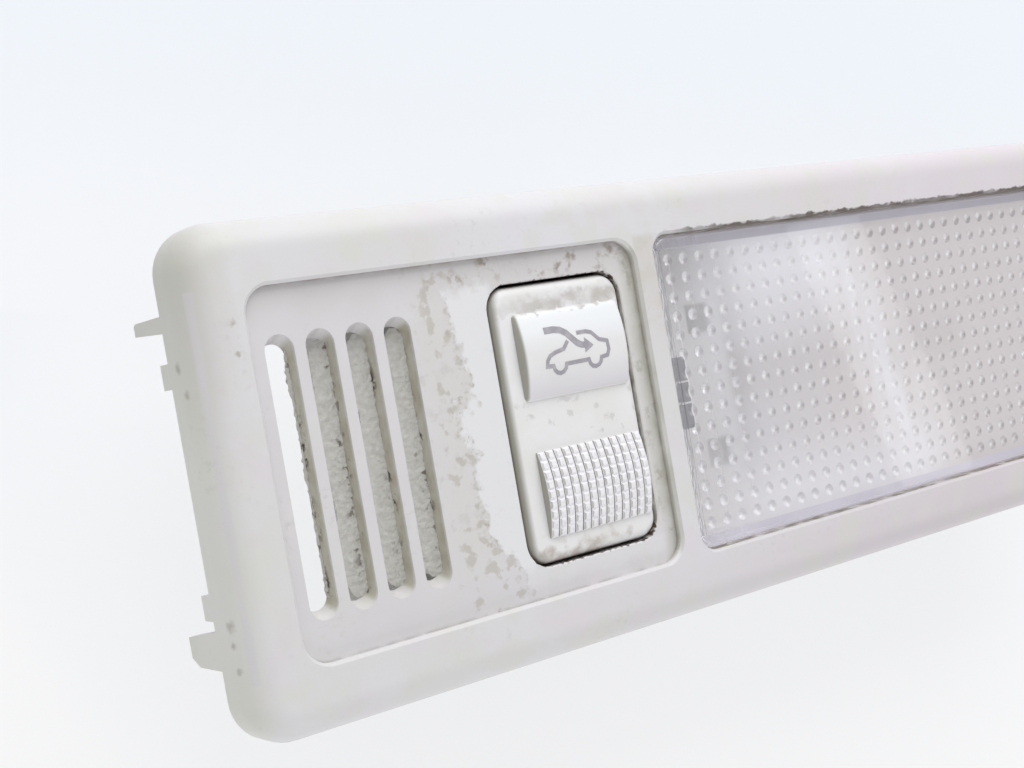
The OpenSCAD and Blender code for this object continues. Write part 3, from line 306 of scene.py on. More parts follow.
# Smoke and dust cling to the slots' walls that face left, which are also painted darker as shade,
# with crumbs along their lower edges.
facing_left = zone(bezel_abs, (faces_x, -0.6, -0.85))
in_slots = zone(bezel_abs, facing_left, (at_z, 32.75, 32.3), (at_x, -81, -80.5),
                (at_x, -58.5, -59))
base = stain(bezel_abs, base, "#b3ad9a", in_slots,
             patches(bezel_abs, in_mm, 2.5, 5, 0.3, 0.65, 0.45, 0.95))
crumbs = zone(bezel_abs, patches(bezel_abs, in_mm, 1.1, 6, 0.52, 0.6),
              patches(bezel_abs, in_mm, 6, 3, 0.45, 0.6), in_slots, (at_z, 31.9, 31.2))
base = stain(bezel_abs, base, "#4b4134", crumbs)

# Corners darken by how closed in they are: painted shade, mixed with grime that a wiping cloth
# can't reach.
crevice_grime_and_shade = add(bezel_abs, "ShaderNodeAmbientOcclusion", {"Distance": 1.6 * MM}, samples=8).outputs[1]
crevice_grime_and_shade = zone(bezel_abs, (crevice_grime_and_shade, 0.66, 0.25), patches(bezel_abs, in_mm, 2.2, 5, 0.35, 0.6), 0.8)
base = stain(bezel_abs, base, "#6b5f50", crevice_grime_and_shade)
join(bezel_abs, base, skin, "Base Color")
# The grain's pits are 0.25 mm apart and some microns deep; it is drawn twice as coarse to show.
grain = patches(bezel_abs, in_mm, 0.5, 3)
bump = add(bezel_abs, "ShaderNodeBump", {"Height": grain, "Strength": 0.35,
                                         "Distance": 0.03 * MM}).outputs[0]
join(bezel_abs, bump, skin, "Normal")
finish(skin, {"Roughness": 0.5, "IOR": 1.53})

bezel = merged("bezel", "bezel_moulding", 32)
bezel.data.materials.append(bezel_abs)
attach(bezel, "root")

# ---- Dust in the air slots --------------------------------------------------------------------
# Lint and dust that moving air has driven through the slots. It hangs on the lower edge of each
# slot's right wall as a thin ragged crust, stuck by its own grease, and nearly fills slots 2 to 4.
# Each slot's middle, and how far the crust spreads from its right wall, in mm.
SLOT_DUST = ((-78.2, 0.75), (-72.65, 2.9), (-67.1, 3.0), (-61.55, 3.1))
SLOT_WALL = 1.65
SLOT_MIDDLE_Y = -0.5 * MM
SLOT_FOOT = 30.8 * MM
CRUST_LENGTH = 32.4 * MM
crusts = []


def turbulence(spot):
    """Gives a steady uneven number, between about -1 and 1, for a place."""
    return turbulence_vector(spot, 3, False)[0]


# Without a seed of its own, the turbulence starts from the clock and differs at each run.
seed_set(7)


for number, (slot_x, spread) in enumerate(SLOT_DUST):
    foot_x = (slot_x + SLOT_WALL) * MM
    bare()
    bpy.ops.mesh.primitive_grid_add(
        x_subdivisions=12, y_subdivisions=130, size=1,
        location=(foot_x + (0.25 - spread / 2) * MM, SLOT_MIDDLE_Y, SLOT_FOOT))
    crust = bpy.context.object
    crust.scale = (spread * MM, CRUST_LENGTH, 1)
    bpy.ops.object.transform_apply(location=True, rotation=True, scale=True)
    for vertex in crust.data.vertices:
        spot = vertex.co
        out = max(0.0, (foot_x + 0.05 * MM - spot.x) / ((spread - 0.2) * MM))
        reach = (0.5 + 0.5 * turbulence((spot.y / (6 * MM), 5.0 * number, 0.0))
                 + 0.35 * turbulence((spot.y / (0.8 * MM), 3.0 * number, 7.0)))
        tail = min(1.0, (CRUST_LENGTH / 2 - abs(spot.y - SLOT_MIDDLE_Y)) / (1.2 * MM))
        spot.x += (0.7 * (1 - reach) + 0.4 * spread * (1 - tail)) * out * MM
        lumps = turbulence((spot.x / (0.6 * MM), spot.y / (0.6 * MM), 2.0 * number))
        spot.z += (0.22 * (1 - 0.75 * out) * lumps - 0.2 * spread * out) * MM
    crust.name = crust.data.name = "slot_dust"
    skin_of_dust = crust.modifiers.new("thickness", "SOLIDIFY")
    skin_of_dust.thickness = 0.3 * MM
    bpy.ops.object.modifier_apply(modifier="thickness")
    crusts.append(crust)


def made_one(piece, others):
    """Joins other pieces into a piece."""
    bare()
    for other in others:
        other.select_set(True)
    piece.select_set(True)
    bpy.context.view_layer.objects.active = piece
    bpy.ops.object.join()
    return piece


slot_dust = made_one(crusts[0], crusts[1:])

# Matted dust: dull and fluffy, pale grey with brown clots.
dust_mat, skin = new_material("Dust, matted")
in_mm = measured(dust_mat)[0]
base = stain(dust_mat, linear("#d2d1cc"), "#c5c4bd", patches(dust_mat, in_mm, 0.8, 5, 0.35, 0.65))
height = add(dust_mat, "ShaderNodeSeparateXYZ", {0: in_mm}).outputs[2]
clots = zone(dust_mat, patches(dust_mat, in_mm, 1, 5, 0.56, 0.63), (height, 30.5, 30.75),
             patches(dust_mat, in_mm, 9, 2, 0.48, 0.56), 0.8)
base = stain(dust_mat, base, "#5c5042", clots)
join(dust_mat, base, skin, "Base Color")
bump = add(dust_mat, "ShaderNodeBump",
           {"Height": patches(dust_mat, in_mm, 0.3, 5), "Strength": 0.4,
            "Distance": 0.07 * MM}).outputs[0]
join(dust_mat, bump, skin, "Normal")
finish(skin, {"Roughness": 0.95})
slot_dust.data.materials.clear()
slot_dust.data.materials.append(dust_mat)
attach(slot_dust, "root")

# ---- Switch carrier ---------------------------------------------------------------------------
# The flat plate behind slots two to four, moulded in pale ABS, that the switch housing
# clips into. Four screws hold it to the bezel's bosses, and dust lies on it.

# Moulded ABS, polished tool: smooth, nearly white, and dulled by dust.
carrier_abs, skin = new_material("ABS moulded, grey, dusty")
in_mm = measured(carrier_abs)[0]
dust = add(carrier_abs, "ShaderNodeTexNoise", {0: in_mm, "Scale": 1 / 6, "Detail": 6}).outputs[0]
dust = add(carrier_abs, "ShaderNodeMapRange", {0: dust, 1: 0.3, 2: 0.7}).outputs[0]
base = stain(carrier_abs, linear("#fdfdfa"), "#f3f1ea", dust)
join(carrier_abs, base, skin, "Base Color")
rough = add(carrier_abs, "ShaderNodeMapRange", {0: dust, 3: 0.42, 4: 0.7}).outputs[0]
join(carrier_abs, rough, skin, "Roughness")
finish(skin, {"IOR": 1.53})
nodes["switch_carrier"].data.materials[0] = carrier_abs

# ---- Switch housing and base ------------------------------------------------------------------
# The box that the rocker turns in, moulded in light grey, and the black glass-filled base under
# it with the plug socket. The base is pressed into the housing and held by its catches.

# Moulded polyamide, light grey: satin, with faint flow marks.
housing_pa, skin = new_material("Polyamide moulded, light grey")
in_mm = measured(housing_pa)[0]
flow = add(housing_pa, "ShaderNodeTexNoise", {0: in_mm, "Scale": 1 / 7, "Detail": 3,
                                              "Distortion": 1.5}).outputs[0]
base = stain(housing_pa, linear("#dcddd6"), "#d2d3cb", flow)
join(housing_pa, base, skin, "Base Color")
finish(skin, {"Roughness": 0.48})
nodes["switch_housing"].data.materials[0] = housing_pa

# Glass-filled polyamide, black: dull, with pale fibre ends in its skin.
base_pa, skin = new_material("Polyamide glass-filled, black")
in_mm = measured(base_pa)[0]
fibre = add(base_pa, "ShaderNodeTexNoise", {0: in_mm, "Scale": 1 / 0.5, "Detail": 2}).outputs[0]
base = stain(base_pa, linear("#232325"), "#343437", fibre)
join(base_pa, base, skin, "Base Color")
bump = add(base_pa, "ShaderNodeBump", {"Height": fibre, "Strength": 0.4,
                                       "Distance": 0.03 * MM}).outputs[0]
join(base_pa, bump, skin, "Normal")
finish(skin, {"Roughness": 0.55})
nodes["switch_base"].data.materials[0] = base_pa

# ---- Switch metalwork, pushers and springs ----------------------------------------------------
# Four brass terminals are pressed into the base. Two white pushers carry copper bridges down to
# them, and a wire spring under each pusher's head brings the rocker back.


def stamped_metal(name, bright, dull, roughness, grain_mm, stretch):
    """A rolled, stamped or drawn metal: brush lines along one way, dulled in patches."""
    metal, shader = new_material(name)
    where = add(metal, "ShaderNodeTexCoord").outputs["Object"]
    lines = add(metal, "ShaderNodeMapping", {0: where, 3: [1000 * s for s in stretch]}).outputs[0]
    brush = add(metal, "ShaderNodeTexNoise", {0: lines, "Scale": 1 / grain_mm,
                                              "Detail": 4}).outputs[0]
    tarnish = add(metal, "ShaderNodeTexNoise", {0: where, "Scale": 350, "Detail": 3}).outputs[0]
    tarnish = add(metal, "ShaderNodeMapRange", {0: tarnish, 1: 0.4, 2: 0.65}).outputs[0]
    tint = stain(metal, linear(bright), dull, tarnish)
    join(metal, tint, shader, "Base Color")
    gloss = add(metal, "ShaderNodeMapRange", {0: brush, 3: roughness - 0.08,
                                              4: roughness + 0.1}).outputs[0]
    join(metal, gloss, shader, "Roughness")
    marks = add(metal, "ShaderNodeBump", {"Height": brush, "Strength": 0.25,
                                          "Distance": 0.01 * MM}).outputs[0]
    join(metal, marks, shader, "Normal")
    finish(shader, {"Metallic": 1})
    return metal


# Rolled brass, stamped: warm yellow with fine lines down the blades.
nodes["switch_terminals"].data.materials[0] = stamped_metal(
    "Brass rolled and stamped", "#cbab6a", "#a8884c", 0.32, 0.15, (1, 1, 0.08))
# Rolled copper alloy, stamped: reddish, lines along the bridge.
bridge_copper = stamped_metal("Copper alloy stamped", "#c98a5a", "#a86a40", 0.3, 0.15,
                              (0.08, 1, 1))
# Drawn spring steel: grey wire with a dull drawn skin.
spring_wire = stamped_metal("Spring steel drawn", "#b4b6b8", "#8c8e90", 0.34, 0.2, (1, 1, 1))

# Moulded acetal, white: slippery and a little waxy.
pusher_pom, skin = new_material("Acetal moulded, white")
place = add(pusher_pom, "ShaderNodeTexCoord").outputs["Object"]
wax = add(pusher_pom, "ShaderNodeTexNoise", {0: place, "Scale": 250, "Detail": 3}).outputs[0]
base = stain(pusher_pom, linear("#ebe9e3"), "#e0ddd4", wax)
join(pusher_pom, base, skin, "Base Color")
finish(skin, {"Roughness": 0.35, "IOR": 1.48})

for side in ("open", "close"):
    nodes["contact_" + side].data.materials[0] = bridge_copper
    nodes["plunger_" + side].data.materials[0] = pusher_pom
    # Each coil is copied into one smooth skin in spring wire; the corners of its part's box are
    # read, but nothing uses them.
    coil = merged("spring_" + side, "coil_" + side, 40)
    coil.data.materials.append(spring_wire)
    foot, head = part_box("spring_" + side)
    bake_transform(coil)

# ---- Rocker -----------------------------------------------------------------------------------
# The two-way key that the driver presses: one ABS moulding with softly rounded upper edges, a
# smooth crowned pad with a printed sign, a crowned pad of knurled ribs, and two pivot studs.
ROCKER_X = -35.87 * MM
ROCKER_TOP = 32.9 * MM
ROCKER_FOOT = 25.1 * MM
ROCKER_SIZE = (22.45 * MM, 37.6 * MM)
ROCKER_WALL = 1.6 * MM
PAD_LOW_X, PAD_HIGH_X = -43.65 * MM, -25.85 * MM
PAD_CROWN = 34.4 * MM
PAD_END = 33.35 * MM
PAD_SUNK = 32.5 * MM


def pick(piece, kind, test):
    """In edit mode, selects the faces, edges or vertices whose corners all pass a test."""
    bpy.ops.mesh.select_mode(type=kind)
    bpy.ops.mesh.select_all(action="DESELECT")
    bpy.ops.object.mode_set(mode="OBJECT")
    points = piece.data.vertices
    parts = {"VERT": points, "EDGE": piece.data.edges, "FACE": piece.data.polygons}[kind]
    for part in parts:
        corners = [part.index] if kind == "VERT" else list(part.vertices)
        part.select = all(test(points[i].co) for i in corners)
    bpy.ops.object.mode_set(mode="EDIT")


def settle(piece, name):
    """Names a new primitive, and puts its place and size into its mesh."""
    piece.name = piece.data.name = name
    bare()
    piece.select_set(True)
    bpy.context.view_layer.objects.active = piece
    bpy.ops.object.transform_apply(location=True, rotation=True, scale=True)
    return piece


def block(name, low, high):
    """Starts a piece as a block between two corners."""
    bare()
    bpy.ops.mesh.primitive_cube_add(size=1, location=(Vector(low) + Vector(high)) / 2)
    piece = bpy.context.object
    piece.scale = Vector(high) - Vector(low)
    return settle(piece, name)


def apply_all(piece):
    """Applies a piece's modifiers in their order."""
    bare()
    piece.select_set(True)
    bpy.context.view_layer.objects.active = piece
    for modifier in list(piece.modifiers):
        bpy.ops.object.modifier_apply(modifier=modifier.name)


def near(a, b, slack=0.01 * MM):
    return abs(a - b) < slack


half_x, half_y = ROCKER_SIZE[0] / 2, ROCKER_SIZE[1] / 2
body = block("rocker_key", (ROCKER_X - half_x, -half_y, ROCKER_FOOT),
             (ROCKER_X + half_x, half_y, ROCKER_TOP))
work_on(body)
bpy.ops.mesh.select_mode(type="EDGE")
bpy.ops.mesh.select_all(action="DESELECT")
bpy.ops.object.mode_set(mode="OBJECT")
for edge in body.data.edges:
    a, b = (body.data.vertices[i].co for i in edge.vertices)
    edge.select = not near(a.z, b.z)
bpy.ops.object.mode_set(mode="EDIT")
bpy.ops.mesh.bevel(offset=3 * MM, segments=10, affect="EDGES")
pick(body, "FACE", lambda p: near(p.z, ROCKER_FOOT))
bpy.ops.mesh.delete(type="FACE")
pick(body, "EDGE", lambda p: near(p.z, ROCKER_TOP))
bpy.ops.mesh.bevel(offset=1.6 * MM, segments=8, affect="EDGES", clamp_overlap=False)
bpy.ops.object.mode_set(mode="OBJECT")
shell = body.modifiers.new("wall", "SOLIDIFY")
shell.thickness = ROCKER_WALL
shell.offset = -1
apply_all(body)

# The pivot studs stand out of the two side walls, and the feet press the pushers.
STUD_HEIGHT = 27.5 * MM
FOOT_HALF = (3 * MM, 1.2 * MM)
FOOT_OFF_MIDDLE, FOOT_TIP, FOOT_ROOT = 11 * MM, 20.8 * MM, 31.6 * MM
loose = []
for side in (-1, 1):
    bare()
    bpy.ops.mesh.primitive_cylinder_add(
        vertices=48, radius=1.7 * MM, depth=3.5 * MM, rotation=(0, math.pi / 2, 0),
        location=(ROCKER_X + side * (half_x + 0.15 * MM), 0, STUD_HEIGHT))
    stud = settle(bpy.context.object, "stud")
    work_on(stud)
    pick(stud, "EDGE", lambda p, s=side: near(p.x, ROCKER_X + s * (half_x + 1.9 * MM)))
    bpy.ops.mesh.bevel(offset=0.3 * MM, segments=3, affect="EDGES")
    bpy.ops.object.mode_set(mode="OBJECT")
    loose.append(stud)
for end in (-1, 1):
    foot_y = end * FOOT_OFF_MIDDLE
    foot = block("foot", (ROCKER_X - FOOT_HALF[0], foot_y - FOOT_HALF[1], FOOT_TIP),
                 (ROCKER_X + FOOT_HALF[0], foot_y + FOOT_HALF[1], FOOT_ROOT))
    work_on(foot)
    pick(foot, "EDGE", lambda p: near(p.z, FOOT_TIP))
    bpy.ops.mesh.bevel(offset=0.8 * MM, segments=4, affect="EDGES")
    bpy.ops.object.mode_set(mode="OBJECT")
    loose.append(foot)


def arched(name, low_x, high_x, low_y, high_y, end_z, steps):
    """Spins an edge into a strip that arches from one end of a pad to the other."""
    rise = PAD_CROWN - end_z
    half = (high_y - low_y) / 2
    radius = (half ** 2 + rise ** 2) / (2 * rise)
    bare()
    bpy.ops.mesh.primitive_plane_add(size=1, location=((low_x + high_x) / 2, low_y, end_z))
    strip = bpy.context.object
    strip.scale = (high_x - low_x, 0.5 * MM, 1)
    settle(strip, name)
    work_on(strip)
    pick(strip, "VERT", lambda p: p.y < low_y)
    bpy.ops.mesh.delete(type="VERT")
    bpy.ops.mesh.select_all(action="SELECT")
    bpy.ops.transform.translate(value=(0, -0.25 * MM, 0))
    bpy.ops.mesh.spin(steps=steps, angle=2 * math.asin(half / radius),
                      center=(0, (low_y + high_y) / 2, PAD_CROWN - radius), axis=(1, 0, 0))
    bpy.ops.mesh.select_all(action="SELECT")
    bpy.ops.mesh.remove_doubles(threshold=0.001 * MM)
    bpy.ops.mesh.normals_make_consistent(inside=False)
    return strip


def face_up(strip):
    """Turns a strip's faces over if they look down."""
    bpy.ops.object.mode_set(mode="OBJECT")
    down = sum(face.normal.z for face in strip.data.polygons) < 0
    bpy.ops.object.mode_set(mode="EDIT")
    if down:
        bpy.ops.mesh.select_all(action="SELECT")
        bpy.ops.mesh.flip_normals()


def footed():
    """Extrudes the selected strip down to a flat foot inside the key, and leaves edit mode."""
    bpy.ops.mesh.extrude_region_move(TRANSFORM_OT_translate={"value": (0, 0, -2 * MM)})
    bpy.ops.transform.resize(value=(1, 1, 0), center_override=(0, 0, PAD_SUNK))
    bpy.ops.mesh.select_all(action="SELECT")
    bpy.ops.mesh.normals_make_consistent(inside=False)
    bpy.ops.object.mode_set(mode="OBJECT")


SMOOTH_LOW_X = PAD_LOW_X - 0.3 * MM
SMOOTH_LOW_Y, SMOOTH_HIGH_Y = 3 * MM, 15 * MM
smooth_pad = arched("smooth_pad", SMOOTH_LOW_X, PAD_HIGH_X, SMOOTH_LOW_Y, SMOOTH_HIGH_Y, PAD_END,
                    16)
face_up(smooth_pad)
# Its edges and corners are rounded: rows of cuts along the edges, lowered to a quarter circle.
PAD_ROUND = 0.75 * MM
for cut in range(1, 6):
    inwards = PAD_ROUND * (1 - math.cos(math.radians(18 * cut)))
    for place, across in (((SMOOTH_LOW_X + inwards, 0, 0), (1, 0, 0)),
                          ((PAD_HIGH_X - inwards, 0, 0), (1, 0, 0)),
                          ((0, SMOOTH_LOW_Y + inwards, 0), (0, 1, 0)),
                          ((0, SMOOTH_HIGH_Y - inwards, 0), (0, 1, 0))):
        bpy.ops.mesh.select_all(action="SELECT")
        bpy.ops.mesh.bisect(plane_co=place, plane_no=across)
bpy.ops.object.mode_set(mode="OBJECT")
for vertex in smooth_pad.data.vertices:
    spot = vertex.co
    over_x = max(0, PAD_ROUND - (spot.x - SMOOTH_LOW_X), PAD_ROUND - (PAD_HIGH_X - spot.x))
    over_y = max(0, PAD_ROUND - (spot.y - SMOOTH_LOW_Y), PAD_ROUND - (SMOOTH_HIGH_Y - spot.y))
    spot.z -= PAD_ROUND - math.sqrt(max(0, PAD_ROUND ** 2 - over_x ** 2 - over_y ** 2))
bpy.ops.object.mode_set(mode="EDIT")
bpy.ops.mesh.select_all(action="SELECT")
footed()
loose.append(smooth_pad)

# The knurled pad: a crowned bed, and thirteen ribs of nine pillows on it. One rib is made and
# then copied across.
RIBS = 13
RIB_GAP = 0.14 * MM
rib_pitch = (PAD_HIGH_X - PAD_LOW_X + RIB_GAP) / RIBS
bed = arched("knurl_bed", PAD_LOW_X + 0.1 * MM, PAD_HIGH_X - 0.1 * MM, -15.3 * MM, -3.9 * MM,
             PAD_END, 18)
face_up(bed)
bpy.ops.mesh.select_all(action="SELECT")
bpy.ops.transform.translate(value=(0, 0, -0.38 * MM))
footed()
loose.append(bed)

rib = arched("rib", PAD_LOW_X, PAD_LOW_X + rib_pitch - RIB_GAP, -15.4 * MM, -3.8 * MM, PAD_END,
             9)
face_up(rib)
bpy.ops.mesh.select_all(action="SELECT")
bpy.ops.transform.translate(value=(0, 0, -0.2 * MM))
bpy.ops.mesh.select_mode(type="FACE")
bpy.ops.mesh.inset(thickness=0.04 * MM, depth=0, use_individual=True)
bpy.ops.mesh.inset(thickness=0.26 * MM, depth=0.17 * MM, use_individual=True)
bpy.ops.object.mode_set(mode="OBJECT")
times = {}
for face in rib.data.polygons:
    for key in face.edge_keys:
        times[key] = times.get(key, 0) + 1
work_on(rib)
bpy.ops.mesh.select_mode(type="EDGE")
bpy.ops.mesh.select_all(action="DESELECT")
bpy.ops.object.mode_set(mode="OBJECT")
for edge in rib.data.edges:
    edge.select = times[tuple(sorted(edge.vertices))] == 1
bpy.ops.object.mode_set(mode="EDIT")
bpy.ops.mesh.extrude_edges_move(TRANSFORM_OT_translate={"value": (0, 0, -0.25 * MM)})
bpy.ops.mesh.extrude_edges_move(TRANSFORM_OT_translate={"value": (0, 0, -1.5 * MM)})
bpy.ops.transform.resize(value=(1, 1, 0), center_override=(0, 0, PAD_SUNK))
bpy.ops.mesh.edge_face_add()
bpy.ops.mesh.select_all(action="SELECT")
bpy.ops.mesh.normals_make_consistent(inside=False)
bpy.ops.object.mode_set(mode="OBJECT")
soft = rib.modifiers.new("soft", "BEVEL")
soft.width = 0.07 * MM
soft.segments = 3
soft.angle_limit = math.radians(18)
apply_all(rib)
for number in range(RIBS):
    one = rib if number == 0 else rib.copy()
    if number:
        one.data = rib.data.copy()
        bpy.context.scene.collection.objects.link(one)
    loose.append(one)
# The mould's pillows were cut by hand, so no two are alike.
for number, one in enumerate(loose[-RIBS:]):
    one.data.transform(Matrix.Translation((number * rib_pitch, 0, 0)))
    for vertex in one.data.vertices:
        if vertex.co.z > 33.1 * MM:
            vertex.co += turbulence_vector(vertex.co / (0.8 * MM), 2, False) * 0.05 * MM

made_one(body, loose)
bpy.ops.object.shade_smooth_by_angle(angle=math.radians(40))

# Moulded ABS, satin: cleaner and whiter than the bezel where fingers rub it.
rocker_abs, skin = new_material("ABS moulded, satin, handled")
in_mm, faces = measured(rocker_abs)
at_x, at_y, at_z = add(rocker_abs, "ShaderNodeSeparateXYZ", {0: in_mm}).outputs
faces_x = add(rocker_abs, "ShaderNodeSeparateXYZ", {0: faces}).outputs[0]
base = stain(rocker_abs, linear("#f0eff0"), "#eae9e6",
             patches(rocker_abs, in_mm, 7, 4, 0.35, 0.65))
# The smooth pad is painted whiter towards its far end and greyer towards its near end: a painted
# highlight and painted shade across its crown.
on_pad = zone(rocker_abs, (at_z, 33.1, 33.3), (at_y, 2.5, 3))
base = stain(rocker_abs, base, "#f4f6f8", on_pad, (at_y, 9.5, 12.5))
base = stain(rocker_abs, base, "#e2dfe3", on_pad, (at_y, 8, 4, 0, 0.8))
# A ragged grey-brown tide mark lies where the pad's far end meets the key, and blotches lie at
# both ends of the key.
ragged = add(rocker_abs, "ShaderNodeMath",
             {0: at_y, 1: patches(rocker_abs, in_mm, 1.4, 5, 0.25, 0.75, -0.9, 0.9)},
             operation="ADD").outputs[0]
tide = zone(rocker_abs, (ragged, 14.6, 14.9), (ragged, 17.6, 16.4), (at_x, -47, -36, 0.35, 1),
            patches(rocker_abs, in_mm, 2.4, 5, 0.36, 0.58, 0.15, 1), 0.62)
base = stain(rocker_abs, base, "#b1aaa0", tide)
# The ribs are rubbed white, and greyed in fine spots.
on_ribs = zone(rocker_abs, (at_z, 33, 33.4), (at_y, -3, -4))
base = stain(rocker_abs, base, "#f6f5f8", on_ribs)
base = stain(rocker_abs, base, "#dcdadd", on_ribs, patches(rocker_abs, in_mm, 0.5, 3, 0.5, 0.62),
             0.45)
# Dark grime clings to the edges of its two ends, with painted shade where the gap falls dark.
off_key = off_corners(rocker_abs, in_mm, (35.87, 0, 0), (8.225, 15.8, 0), 3)
off_middle = add(rocker_abs, "ShaderNodeMath", {0: at_y}, operation="ABSOLUTE").outputs[0]
gap_edge_grime_and_shade = off_key
for raggedness in (patches(rocker_abs, in_mm, 0.7, 5, 0.3, 0.7, -0.25, 0.2),
                   zone(rocker_abs, (off_middle, 14, 18, -0.5, 0))):
    gap_edge_grime_and_shade = add(rocker_abs, "ShaderNodeMath", {0: gap_edge_grime_and_shade, 1: raggedness},
                 operation="ADD").outputs[0]
base = stain(rocker_abs, base, "#412f2a", (gap_edge_grime_and_shade, -0.05, 0.1, 0, 0.9))
blotch = zone(rocker_abs, patches(rocker_abs, in_mm, 2.6, 5, 0.5, 0.66), (at_y, -14.5, -17), 0.55)
base = stain(rocker_abs, base, "#a08f7d", blotch)
stains = zone(rocker_abs, patches(rocker_abs, in_mm, 1.8, 4, 0.6, 0.66), (at_y, -4, -3),
              (at_y, 3.4, 2.4), 0.4)
base = stain(rocker_abs, base, "#b9b7b4", stains)
# The faces that look left, the pads' left flanks and the key's left edge, are painted greenish
# grey as shade.
left_facing_shade = zone(rocker_abs, (faces_x, -0.2, -0.65), 0.95)
base = stain(rocker_abs, base, "#a19f92", left_facing_shade)
# Crevices, such as the grooves between the ribs, darken by how closed in they are: painted shade,
# with some grime.
crevice_grime_and_shade = add(rocker_abs, "ShaderNodeAmbientOcclusion", {"Distance": 1.2 * MM},
           samples=8).outputs[1]
crevice_grime_and_shade = zone(rocker_abs, (crevice_grime_and_shade, 0.6, 0.15), (at_z, 33.2, 32.2, 0.25, 0.85))
base = stain(rocker_abs, base, "#6f6558", crevice_grime_and_shade)
join(rocker_abs, base, skin, "Base Color")
fine = patches(rocker_abs, in_mm, 0.6, 3)
bump = add(rocker_abs, "ShaderNodeBump", {"Height": fine, "Strength": 0.2,
                                          "Distance": 0.02 * MM}).outputs[0]
join(rocker_abs, bump, skin, "Normal")
finish(skin, {"Roughness": 0.42, "IOR": 1.53})
body.data.materials.clear()
body.data.materials.append(rocker_abs)
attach(body, "rocker")
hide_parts("rocker")

# ---- Sign on the smooth pad -------------------------------------------------------------------
# A pad-printed sign in grey ink: the side of a car in outline, and a bold arrow that slides back
# over its open roof. The ink is a few hundredths of a millimetre thick and follows the crown.


def wheel(x, y, radius):
    """The lower half of a wheel, from its front to its back."""
    turns = [math.pi * (1 + step / 6) for step in range(7)]
    return [(x + radius * math.cos(turn), y + radius * math.sin(turn)) for turn in turns]


# The car faces left, and its tail stands a little higher than its nose.
car_line = ([(-36.45, 10.3), (-37.35, 9.3), (-38.9, 9.0), (-39.8, 8.65), (-40.3, 8.05),
             (-40.45, 7.3)] + wheel(-38.3, 7.25, 1.1) + wheel(-32.2, 7.3, 1.1)
            + [(-30.0, 7.45), (-29.65, 8.2), (-29.75, 9.4), (-31.1, 9.8), (-32.2, 10.9),
               (-33.1, 11.15), (-34.7, 11.15)])
arrow_line = ((-40.0, 12.1, 1), (-38.4, 12.1, 1), (-37.3, 11.9, 1), (-36.4, 11.35, 1),
              (-35.6, 10.5, 1), (-34.9, 9.8, 1), (-34.2, 9.45, 0.95), (-33.7, 9.35, 0.9),
              (-33.68, 9.35, 2.3), (-32.2, 9.15, 0.05))


# The ink lies on the pad's crown, and the whole sign stands a little right of the drawing.
CROWN_RADIUS = 17.67 * MM
CROWN_MIDDLE = 9 * MM
INK = 0.02 * MM
SIGN_SHIFT = 0.12


def ink_stroke(name, line, width):
    """Makes a flat stroke of ink along a line of points, and lays it on the crown."""
    nib = bpy.data.curves.new(name + "_nib", "CURVE")
    tip = nib.splines.new("POLY")
    tip.points.add(1)
    tip.points[0].co = (-width / 2, 0, 0, 1)
    tip.points[1].co = (width / 2, 0, 0, 1)
    nib_object = bpy.data.objects.new(name + "_nib", nib)
    bpy.context.scene.collection.objects.link(nib_object)
    stroke = bpy.data.curves.new(name, "CURVE")
    stroke.dimensions = "2D"
    path = stroke.splines.new("POLY")
    path.points.add(len(line) - 1)
    for spot, (x, y, *radius) in zip(path.points, line):
        spot.co = ((x + SIGN_SHIFT) * MM, y * MM, 0, 1)
        spot.radius = radius[0] if radius else 1
    stroke.bevel_mode = "OBJECT"
    stroke.bevel_object = nib_object
    piece = bpy.data.objects.new(name, stroke)
    bpy.context.scene.collection.objects.link(piece)
    bare()
    piece.select_set(True)
    bpy.context.view_layer.objects.active = piece
    bpy.ops.object.convert(target="MESH")
    piece = bpy.context.object
    bpy.data.objects.remove(nib_object)
    work_on(piece)
    bpy.ops.mesh.select_all(action="SELECT")
    bpy.ops.mesh.subdivide(number_cuts=3)
    bpy.ops.object.mode_set(mode="OBJECT")
    for vertex in piece.data.vertices:
        across = vertex.co.y - CROWN_MIDDLE
        vertex.co.z = (PAD_CROWN - CROWN_RADIUS + math.sqrt(CROWN_RADIUS ** 2 - across ** 2)
                       + INK)
    return piece


car_sign = ink_stroke("sign_car", car_line, 0.56 * MM)
arrow_sign = ink_stroke("sign_arrow", arrow_line, 0.92 * MM)
# Pad-printing ink: flat grey, slightly worn.
ink, skin = new_material("Ink pad-printed, grey")
place = add(ink, "ShaderNodeTexCoord").outputs["Object"]
wear = add(ink, "ShaderNodeTexNoise", {0: place, "Scale": 900, "Detail": 3}).outputs[0]
wear = add(ink, "ShaderNodeMapRange", {0: wear, 1: 0.45, 2: 0.75}).outputs[0]
base = stain(ink, linear("#a5a2a8"), "#bcb9bd", wear)
join(ink, base, skin, "Base Color")
finish(skin, {"Roughness": 0.5})
for piece in (car_sign, arrow_sign):
    piece.data.materials.clear()
    piece.data.materials.append(ink)
    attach(piece, "rocker")

# ---- Lamp housing -----------------------------------------------------------------------------
# The white tray that throws the bulb's light forward, moulded in polypropylene, with the lamp's
# plug socket behind it. Four screws hold it to the bezel's bosses.

# Moulded polypropylene, white: bright and slightly glossy, a little dusty.
tray_pp, skin = new_material("Polypropylene moulded, white")
in_mm = measured(tray_pp)[0]
dust = add(tray_pp, "ShaderNodeTexNoise", {0: in_mm, "Scale": 1 / 12, "Detail": 5}).outputs[0]
base = stain(tray_pp, linear("#f0f0ee"), "#e4e1dc", dust)
join(tray_pp, base, skin, "Base Color")
finish(skin, {"Roughness": 0.36, "IOR": 1.49})
nodes["lamp_housing"].data.materials[0] = tray_pp

